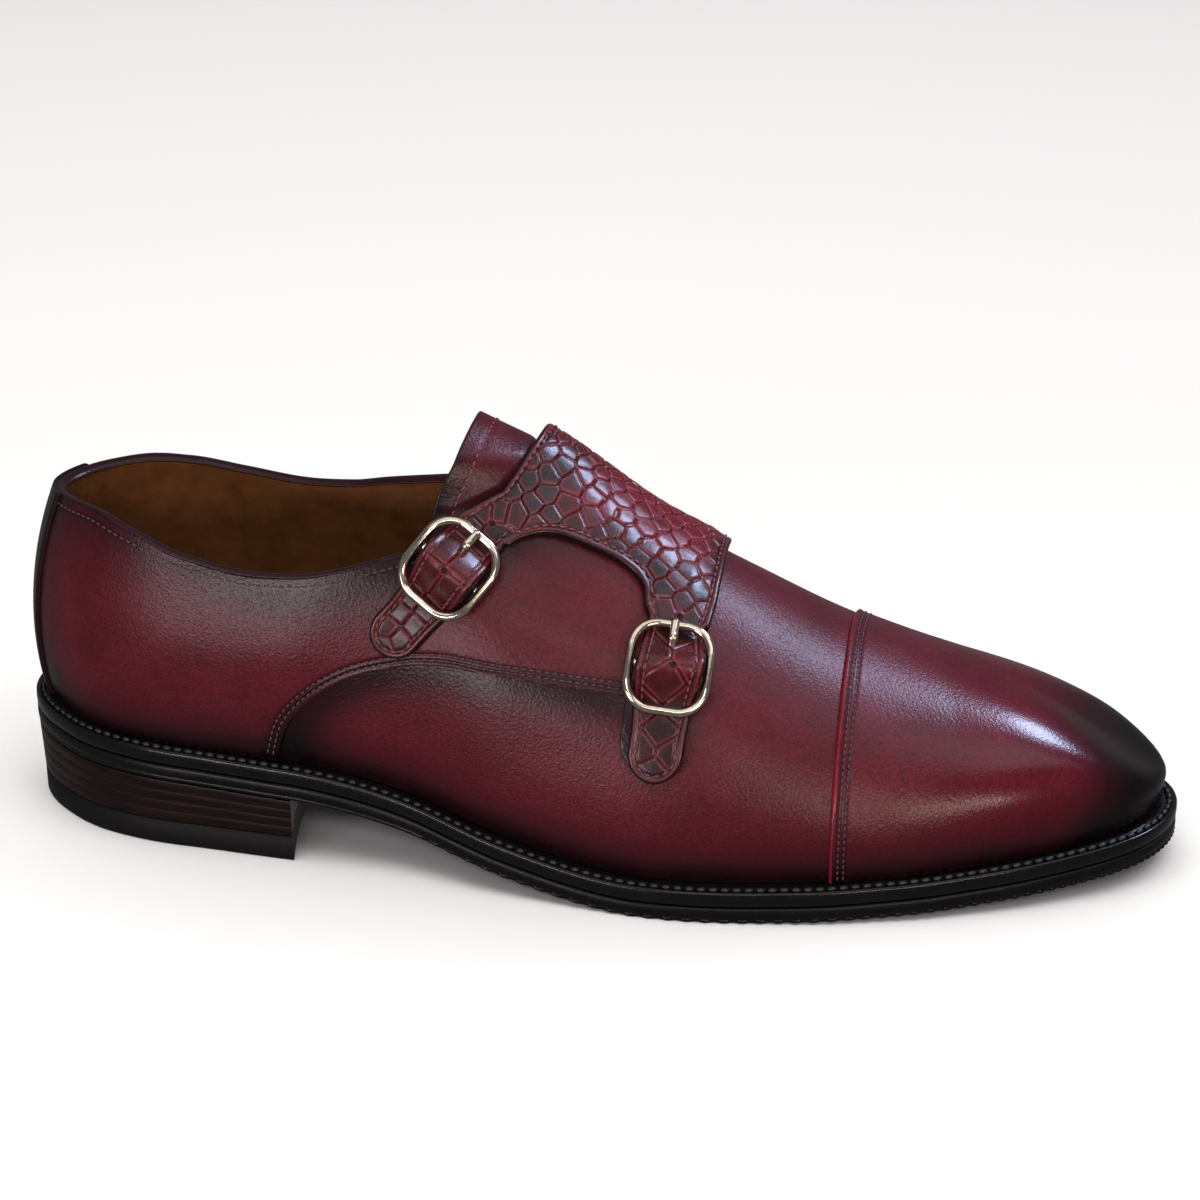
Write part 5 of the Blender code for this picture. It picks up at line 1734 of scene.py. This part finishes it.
def strap_hole(name, number):
    """A punched hole: a small raised ring of leather round a sunken disc of painted shadow."""
    point, normal, first, second = (part[number] for part in HOLE_FRAMES)
    near = np.linalg.norm(FLAP_FLAT - point, axis=1) < 2.0 * MM
    centre = point + normal * FLAP_TOP.reshape(-1)[near].max()
    work = bmesh.new()
    rings = []
    for radius, height in HOLE_RINGS:
        ring = []
        for angle in np.linspace(0, 2 * math.pi, HOLE_SIDES, endpoint=False):
            away = (first * math.cos(angle) + second * math.sin(angle)) * radius * MM
            ring.append(work.verts.new(centre + away + normal * height * MM))
        rings.append(ring)
    for k, (outer_ring, inner_ring) in enumerate(zip(rings[:-1], rings[1:])):
        for n in range(HOLE_SIDES):
            m = (n + 1) % HOLE_SIDES
            face = work.faces.new((outer_ring[n], outer_ring[m], inner_ring[m], inner_ring[n]))
            face.material_index = 1 if k >= DARK_RING else 0
    work.faces.new(rings[-1]).material_index = 1
    work.faces.new(rings[0][::-1])
    mesh = bpy.data.meshes.new(name)
    work.to_mesh(mesh)
    work.free()
    mesh.materials.append(SEAM_EDGE)
    mesh.materials.append(HOLE_SHADOW)
    return place(finished(name, mesh), [])


for number in range(len(HOLES)):
    strap_hole(f"strap_hole_{number + 1}", number)

# %% [markdown]
# ## Welt, sole and heel
# Under the upper lie the welt, the outsole and a heel of stacked lifts. Each is a plate cut to the
# last's outline plus an overhang. Its edge is a short profile, trimmed with an iron and inked black.
# The same function makes all of them: it takes the profile as rows of offset and height.


# %% A plate with a shaped edge
PLATE_SPANS = 6


def edged_plate(name, turns, profile, material, breast=False, ripple=None):
    """A plate of the sole. profile holds, from the top down, its offset from the last's outline and
    its height as a function of x. With breast it ends in the heel's hollow front. ripple may move
    the profile's rows a little out and in along the edge."""
    share = np.linspace(0, 1, PLATE_SPANS + 1)
    layers = []
    for number, (offset, height) in enumerate(profile):
        rows = []
        for turn in turns:
            wobble = 0.0 if ripple is None else ripple(number, turn)
            x0, y0 = bottom_outline(turn, offset + wobble)
            x1, y1 = bottom_outline(2 - turn, offset + wobble)
            rows.append((x0 + (x1 - x0) * share, y0 + (y1 - y0) * share))
        if breast:
            around = np.linspace(0, 1, 2001)
            side = bottom_outline(around, offset)
            other = bottom_outline(2 - around, offset)
            y0 = np.interp(HEEL_BREAST, side[0], side[1])
            y1 = np.interp(HEEL_BREAST, other[0], other[1])
            hollow = HEEL_BREAST - BREAST_SAG * (1 - (2 * share - 1) ** 2)
            rows.append((hollow, y0 + (y1 - y0) * share))
        layers.append(np.stack([np.stack([x, y, height(x) + 0 * x], axis=-1) for x, y in rows]))
    layers = np.array(layers)
    count = layers.shape[1] * layers.shape[2]
    index = np.arange(count).reshape(layers.shape[1:3])
    index[0] = index[0, 0]
    if breast:
        loop = [*index[1:, 0], *index[-1, 1:-1], *index[-1:0:-1, -1], index[0, 0]]
    else:
        index[-1] = index[-1, 0]
        loop = [*index[1:, 0], *index[-2:0:-1, -1], index[0, 0]]
    loop = np.array(loop)
    following = np.roll(loop, -1)
    wall = np.stack([loop, following, following + count, loop + count], axis=-1)
    walls = [wall + count * k for k in range(len(profile) - 1)]
    top = cells(index)
    faces = np.concatenate([top, top[:, ::-1] + count * (len(profile) - 1), *walls])
    mesh, _ = trimmed_mesh(name, layers.reshape(-1, 3), (faces,), (material,))
    return finished(name, mesh, sharp=60.0)


def level(height):
    """A height above the floor that is the same all over."""
    return lambda x: height + 0 * x


def under_seat(depth):
    """A height that follows the seat, at a depth below the welt's top face."""
    return lambda x: seat_height(x) - depth


def seat_profile(rim, top, rows):
    """A profile that follows the seat. Each row is a step out from the rim and a depth below the
    plate's top, in mm."""
    return [(rim + step * MM, under_seat(top + depth * MM)) for step, depth in rows]


# The welt's groove for the stitches lies between two ridges, and its edge is rounded.
welt_profile = seat_profile(WELT_OVERHANG, 0.0, (
    (-3.4, 0.0), (-3.0, 0.12), (-2.6, 0.34), (-1.3, 0.34), (-0.95, 0.06), (-0.55, 0.0),
    (-0.18, 0.14), (0.0, 0.55), (0.06, 2.0), (0.0, 3.4), (-0.22, 3.85), (-0.6, 4.0),
))
welt = edged_plate("welt_leather", np.linspace(0, 1, 260), welt_profile, WELT_LEATHER)
place(welt, ["welt"])

# %% The outsole
TREAD_ROW = 6
RIPPLE_HEIGHT = 0.22 * MM
RIPPLE_RATE = 620


def tread_ripple(number, turn):
    """Small bumps along the sole's lower edge, under the forefoot."""
    if number < TREAD_ROW:
        return 0.0
    fade_in = smoothstep((along_of(turn) - 0.36) / 0.06)
    return RIPPLE_HEIGHT * fade_in * math.sin(turn * RIPPLE_RATE)


outsole_profile = seat_profile(WELT_OVERHANG, WELT_THICKNESS + GAP, (
    (-0.7, 0.0), (-0.2, 0.12), (0.0, 0.5), (0.05, 1.8), (-0.02, 2.9), (-0.22, 3.1),
    (-0.12, 3.35), (-0.15, 3.9), (-0.5, OUTSOLE_THICKNESS / MM),
))
outsole = edged_plate(
    "outsole_leather", np.linspace(0, 1, 900), outsole_profile, SOLE_LEATHER, ripple=tread_ripple
)
place(outsole, ["outsole"])

# %% The heel, its lifts and the sock
HEEL_FRONT = HEEL_BACK + HEEL_BREAST - BREAST_SAG - 1.5 * MM
HEEL_TURNS = np.linspace(0, turn_of(HEEL_FRONT / LAST_LENGTH), 70)
LIFTS = 4
LIFT_STEPS = (0.02, 0.10, 0.5, 0.90, 0.98)
LIFT_LINE = 0.10 * MM
STACK_INSET = 0.2 * MM


def heel_profile():
    """The edge of the stack: four lifts, each slightly rounded, with a fine line between them."""
    rows = []
    top_offset = WELT_OVERHANG - STACK_INSET
    for k in range(LIFTS):
        for t in LIFT_STEPS:
            share = (k + t) / LIFTS
            line = LIFT_LINE if t in (LIFT_STEPS[0], LIFT_STEPS[-1]) else 0.0
            offset = top_offset + (HEEL_OVERHANG - top_offset) * share - line

            def height(x, share=share):
                high = seat_height(x) - SOLE_STACK - GAP
                return high + (TOP_LIFT + GAP - high) * share

            rows.append((offset, height))
    return rows


stack = edged_plate("heel_stack_leather", HEEL_TURNS, heel_profile(), STACK, breast=True)
place(stack, ["heel_stack"])
lift_profile = (
    (HEEL_OVERHANG - 0.25 * MM, level(TOP_LIFT)),
    (HEEL_OVERHANG, level(TOP_LIFT - 0.25 * MM)),
    (HEEL_OVERHANG, level(0.6 * MM)),
    (HEEL_OVERHANG - 0.2 * MM, level(0.15 * MM)),
    (HEEL_OVERHANG - 0.6 * MM, level(0.0)),
)
lift = edged_plate("heel_top_lift_rubber", HEEL_TURNS, lift_profile, RUBBER, breast=True)
place(lift, ["heel_top_lift"])
sock_profile = seat_profile(-UPPER_WALL - 0.5 * MM, -GAP - INSOLE_THICKNESS, (
    (-1.2, 0.0), (-0.5, 0.3), (0.0, INSOLE_THICKNESS / MM / 2), (0.0, INSOLE_THICKNESS / MM),
))
sock = edged_plate("sock_leather", np.linspace(0, 1, 120), sock_profile, LINING)
place(sock, ["insole"])


# %% The welt's stitches
def welt_row():
    """The row in the welt's groove, all round the shoe."""
    x, y = bottom_outline(np.linspace(0, 2, 900), WELT_OVERHANG - 1.95 * MM)
    line = np.stack([x, y, seat_height(x) - 0.12 * MM], axis=-1)
    return [(line, np.tile([0.0, 0.0, 1.0], (len(line), 1)))]


stitches("welt_stitches", welt_row(), (2.9, 2.5, 1.35), WELT_THREAD)

# %% [markdown]
# ## Buckles and the tab
# The buckles are bent wire, closed by soldering and plated: a rounded frame, a bar under the strap
# and a prong that comes up through the strap's hole and rests on the frame. A tab of the quarter
# carries on under the front strap's end.


# %% The buckles
BAR_DROP = 1.5 * MM
PRONG_GIRTH = (1.3, 1.35, 1.4, 1.4, 1.35, 1.3)


def buckle(which):
    """One buckle: its frame, its bar and its prong."""
    origin, normal, ahead, beside, height = buckle_seat(STRAPS[which])

    def at(s, w, h):
        """A point s along the strap, w sideways and h off the shoe, on the frame's bow."""
        s, w, h = np.broadcast_arrays(np.asarray(s, float), np.asarray(w, float), np.asarray(h, float))
        drop = BUCKLE_BOW * (2 * s / BUCKLE_LENGTH) ** 2
        return origin + ahead * s[..., None] + beside * w[..., None] + normal * (h - drop)[..., None]

    half_w = (BUCKLE_WIDTH - BUCKLE_WIRE) / 2
    half_s = (BUCKLE_LENGTH - BUCKLE_WIRE) / 2
    w, s = [], []
    for quarter_turn, (sign_w, sign_s) in enumerate(((1, 1), (-1, 1), (-1, -1), (1, -1))):
        angle = quarter_turn * math.pi / 2 + np.radians(np.linspace(0, 90, 17))
        w += list(sign_w * (half_w - BUCKLE_CORNER) + BUCKLE_CORNER * np.cos(angle))
        s += list(sign_s * (half_s - BUCKLE_CORNER) + BUCKLE_CORNER * np.sin(angle))
    path = at(np.array(s), np.array(w), height)
    step = np.roll(path, -1, axis=0) - np.roll(path, 1, axis=0)
    step /= np.linalg.norm(step, axis=1, keepdims=True)
    out = np.cross(step, normal)
    out /= np.linalg.norm(out, axis=1, keepdims=True)
    over = np.cross(out, step)
    closed = [np.concatenate([a, a[:1]]) for a in (path, out, over)]
    radius = BUCKLE_WIRE / 2
    # The tube meets itself, so its two end caps go and its first and last ring become one.
    frame_piece = oval_tube(f"{which}_buckle_ring", *closed, radius, radius, NICKEL, sides=18)
    work = bmesh.new()
    work.from_mesh(frame_piece.data)
    caps = [f for f in work.faces if len(f.verts) > 4]
    bmesh.ops.delete(work, geom=caps, context="FACES_ONLY")
    bmesh.ops.remove_doubles(work, verts=work.verts, dist=1e-6)
    bmesh.ops.recalc_face_normals(work, faces=work.faces)
    work.to_mesh(frame_piece.data)
    work.free()
    place(frame_piece, [f"{which}_buckle_frame"])
    line = at(0, np.linspace(-1, 1, 24) * (half_w - 0.1 * BUCKLE_WIRE), height - BAR_DROP)
    count = len(line)
    bar = oval_tube(
        f"{which}_buckle_bar", line, np.tile(ahead, (count, 1)), np.tile(normal, (count, 1)),
        BAR_WIRE / 2, BAR_WIRE / 2, NICKEL,
    )
    place(bar, [])
    reach = half_s + BUCKLE_WIRE * 0.45
    root = BAR_WIRE / 2 + GAP + PRONG_WIRE / 2
    rest = height + BUCKLE_WIRE / 2 + GAP * 0.4 + PRONG_WIRE / 2
    place_s = [-root, *(-step for step in PRONG_STEPS), -half_s + PRONG_END, -reach]
    place_h = [height + rise for rise in PRONG_RISES] + [rest + drop for drop in PRONG_DROPS]
    share = np.linspace(0, 5, 40)
    line = at(smooth_curve(range(6), place_s)(share), 0.0, smooth_curve(range(6), place_h)(share))
    thick = smooth_curve(range(6), np.array(PRONG_GIRTH) * PRONG_WIRE / 2)(share)
    thick = thick * np.sqrt(1 - np.clip((share - 4.75) / 0.26, 0, 1) ** 2 * 0.9)
    step = np.gradient(line, axis=0)
    step /= np.linalg.norm(step, axis=1, keepdims=True)
    aside = np.tile(beside, (len(line), 1))
    over = np.cross(step, aside)
    prong = oval_tube(f"{which}_buckle_tongue", line, aside, over, thick, thick * 0.65, NICKEL)
    place(prong, [f"{which}_buckle_prong"])


for which in STRAPS:
    buckle(which)


# %% The tab under the front strap
TAB_EDGE = 0.4 * MM


def front_tab():
    """The quarter's tab, under the front strap's end."""
    line = strap_line(FRONT_STRAP_TABLE)
    half = TAB_WIDTH / 2
    tip = STRAP_TIP - half - TAB_BACK
    distances = np.concatenate([
        np.linspace(TAB_START, tip, 24),
        tip + half * np.sin(np.radians(np.linspace(0, 86, 24)))[1:],
    ])
    narrow = np.sqrt(1 - np.clip((distances - tip) / half, 0, 1) ** 2)
    frame = strap_frame(line, distances)
    middle = line(distances)
    near = np.array([0, 0.12, 0.35, 0.65, 1.0]) * TAB_EDGE
    far = TAB_WIDTH - near[::-1]
    sides = np.concatenate([near, np.linspace(near[-1], far[0], 20)[1:-1], far]) - half
    away = sides[None, :] * narrow[:, None] + TAB_SHIFT
    turn = middle[0][:, None] + frame[4][:, None] * away
    across = middle[1][:, None] + frame[5][:, None] * away
    flat = last_point(turn, across)
    edge_points = np.concatenate([flat[:, 0], flat[:, -1], flat[-1]])
    from_edge = distance_to(flat.reshape(-1, 3), edge_points)
    top = QUARTER_TOP - rounded(from_edge, TAB_EDGE)
    outer = skin_point(turn.reshape(-1), across.reshape(-1), top)[0]
    inner = skin_point(turn.reshape(-1), across.reshape(-1), np.full(turn.size, 0.1 * MM))[0]
    index = np.arange(turn.size).reshape(turn.shape)
    piece = sheet(
        "front_tab_leather", outer, inner, index, (CALF, CALF, EDGE_PAINT),
        {"burnish": np.full(turn.size, 0.6)},
    )
    return place(piece, ["front_tab"])


front_tab()

# %% [markdown]
# ## Floor, light and camera
# The shoe stands on a white sweep in a dim grey studio. A cool window above the toe and a little
# behind gives the blue gloss on the toe, the vamp and the flap. A wide pale wall and a light overhead
# fill the shape, low cards in front put a soft streak along the toe cap and the quarter, and one
# large light makes the sweep white.

# %% The floor
bpy.ops.mesh.primitive_plane_add(size=6.0, location=(0.0, 0.0, 0.0))
floor = bpy.context.object
floor.name = "floor"
sweep_paper, _, sweep_shader, _ = new_material("white_paper_sweep", "#f6f6f6")
connect(sweep_shader, {"Roughness": 0.9})
floor.data.materials.append(sweep_paper)
print("floor:", floor.name)


# %% The lights
LIGHT_AIM = np.array([0.11, 0.0, 0.05])
WORLD_STRENGTH = 0.19


def look(back):
    """The rotation of a camera or a light whose back points that way."""
    return Vector(back).to_track_quat("Z", "Y").to_euler()


def area_light(name, azimuth, elevation, distance, size, power, colour):
    """A rectangular light that points at the shoe's middle, from a direction in degrees. Azimuth 0
    is in front of the lateral side and 90 in front of the toe."""
    a, e = math.radians(azimuth), math.radians(elevation)
    toward = np.array([math.sin(a) * math.cos(e), -math.cos(a) * math.cos(e), math.sin(e)])
    light = bpy.data.lights.new(name, "AREA")
    light.shape = "RECTANGLE"
    light.size, light.size_y = size
    light.energy = power
    light.color = srgb(colour)[:3]
    lamp = bpy.data.objects.new(name, light)
    lamp.location = LIGHT_AIM + toward * distance
    lamp.rotation_euler = look(toward)
    bpy.context.scene.collection.objects.link(lamp)
    return lamp


# Each light's azimuth and elevation, its distance and size in metres, its power and its colour.
lamps = {
    name: area_light(name, *values)
    for name, *values in (
        ("cool_window", 122, 50, 1.3, (0.32, 0.22), 16, "#c4d8ff"),
        ("cool_wall", 62, 54, 1.6, (0.9, 0.6), 4.6, "#f6eef8"),
        ("overhead", -20, 76, 1.7, (1.6, 1.6), 10, "#fffaf2"),
        ("pale_card", 3, 33, 1.3, (0.50, 0.20), 2.6, "#fdf4f4"),
        ("warm_card", 31, 9, 1.2, (0.42, 0.16), 4.6, "#ffe9dc"),
        ("front_card", -25, 3, 1.2, (0.45, 0.16), 6.0, "#fbeaf0"),
        ("sweep_light", 175, 82, 2.2, (3.0, 3.0), 42, "#ffffff"),
    )
}

# %% Flags and cards
# The window and the warm card shine on the shoe alone and the largest light on the floor alone, as
# behind flags in a studio. The white floor is seen and takes the shadows, but its glare is kept off
# the leather, which black cards beside the shoe would do.
lit = bpy.data.collections.new("lit_by_the_window")
swept = bpy.data.collections.new("lit_by_the_sweep_light")
swept.objects.link(floor)
for piece in bpy.context.scene.objects:
    if piece.type == "MESH" and piece.name != "floor":
        lit.objects.link(piece)
for name, receivers in (("cool_window", lit), ("warm_card", lit), ("sweep_light", swept)):
    lamps[name].light_linking.receiver_collection = receivers
floor.visible_glossy = False
floor.visible_diffuse = False
world = bpy.data.worlds.new("studio")
bpy.context.scene.view_settings.view_transform = "Standard"
bpy.context.scene.world = world
world.use_nodes = True
connect(world.node_tree.nodes["Background"], {"Color": srgb("#ffffff"), "Strength": WORLD_STRENGTH})

# %% The camera
# The place and the lens were fitted to the photograph's outline of the shoe.
VIEW_AZIMUTH = math.radians(10.113)
VIEW_ELEVATION = math.radians(24.513)
VIEW_DISTANCE = 724.5 * MM
VIEW_TARGET = np.array([111.78, 0.0, 62.74]) * MM
FOCAL_PIXELS = 2870.6
IMAGE_PIXELS = 1200
SENSOR = 36.0
back = np.array([
    math.sin(VIEW_AZIMUTH) * math.cos(VIEW_ELEVATION),
    -math.cos(VIEW_AZIMUTH) * math.cos(VIEW_ELEVATION),
    math.sin(VIEW_ELEVATION),
])
camera_data = bpy.data.cameras.new("camera")
camera_data.sensor_width = SENSOR
camera_data.lens = SENSOR * FOCAL_PIXELS / IMAGE_PIXELS
camera = bpy.data.objects.new("camera", camera_data)
camera.location = VIEW_TARGET + back * VIEW_DISTANCE
camera.rotation_euler = look(back)
bpy.context.scene.collection.objects.link(camera)
bpy.context.scene.camera = camera
print("camera at", [round(v, 3) for v in camera.location])
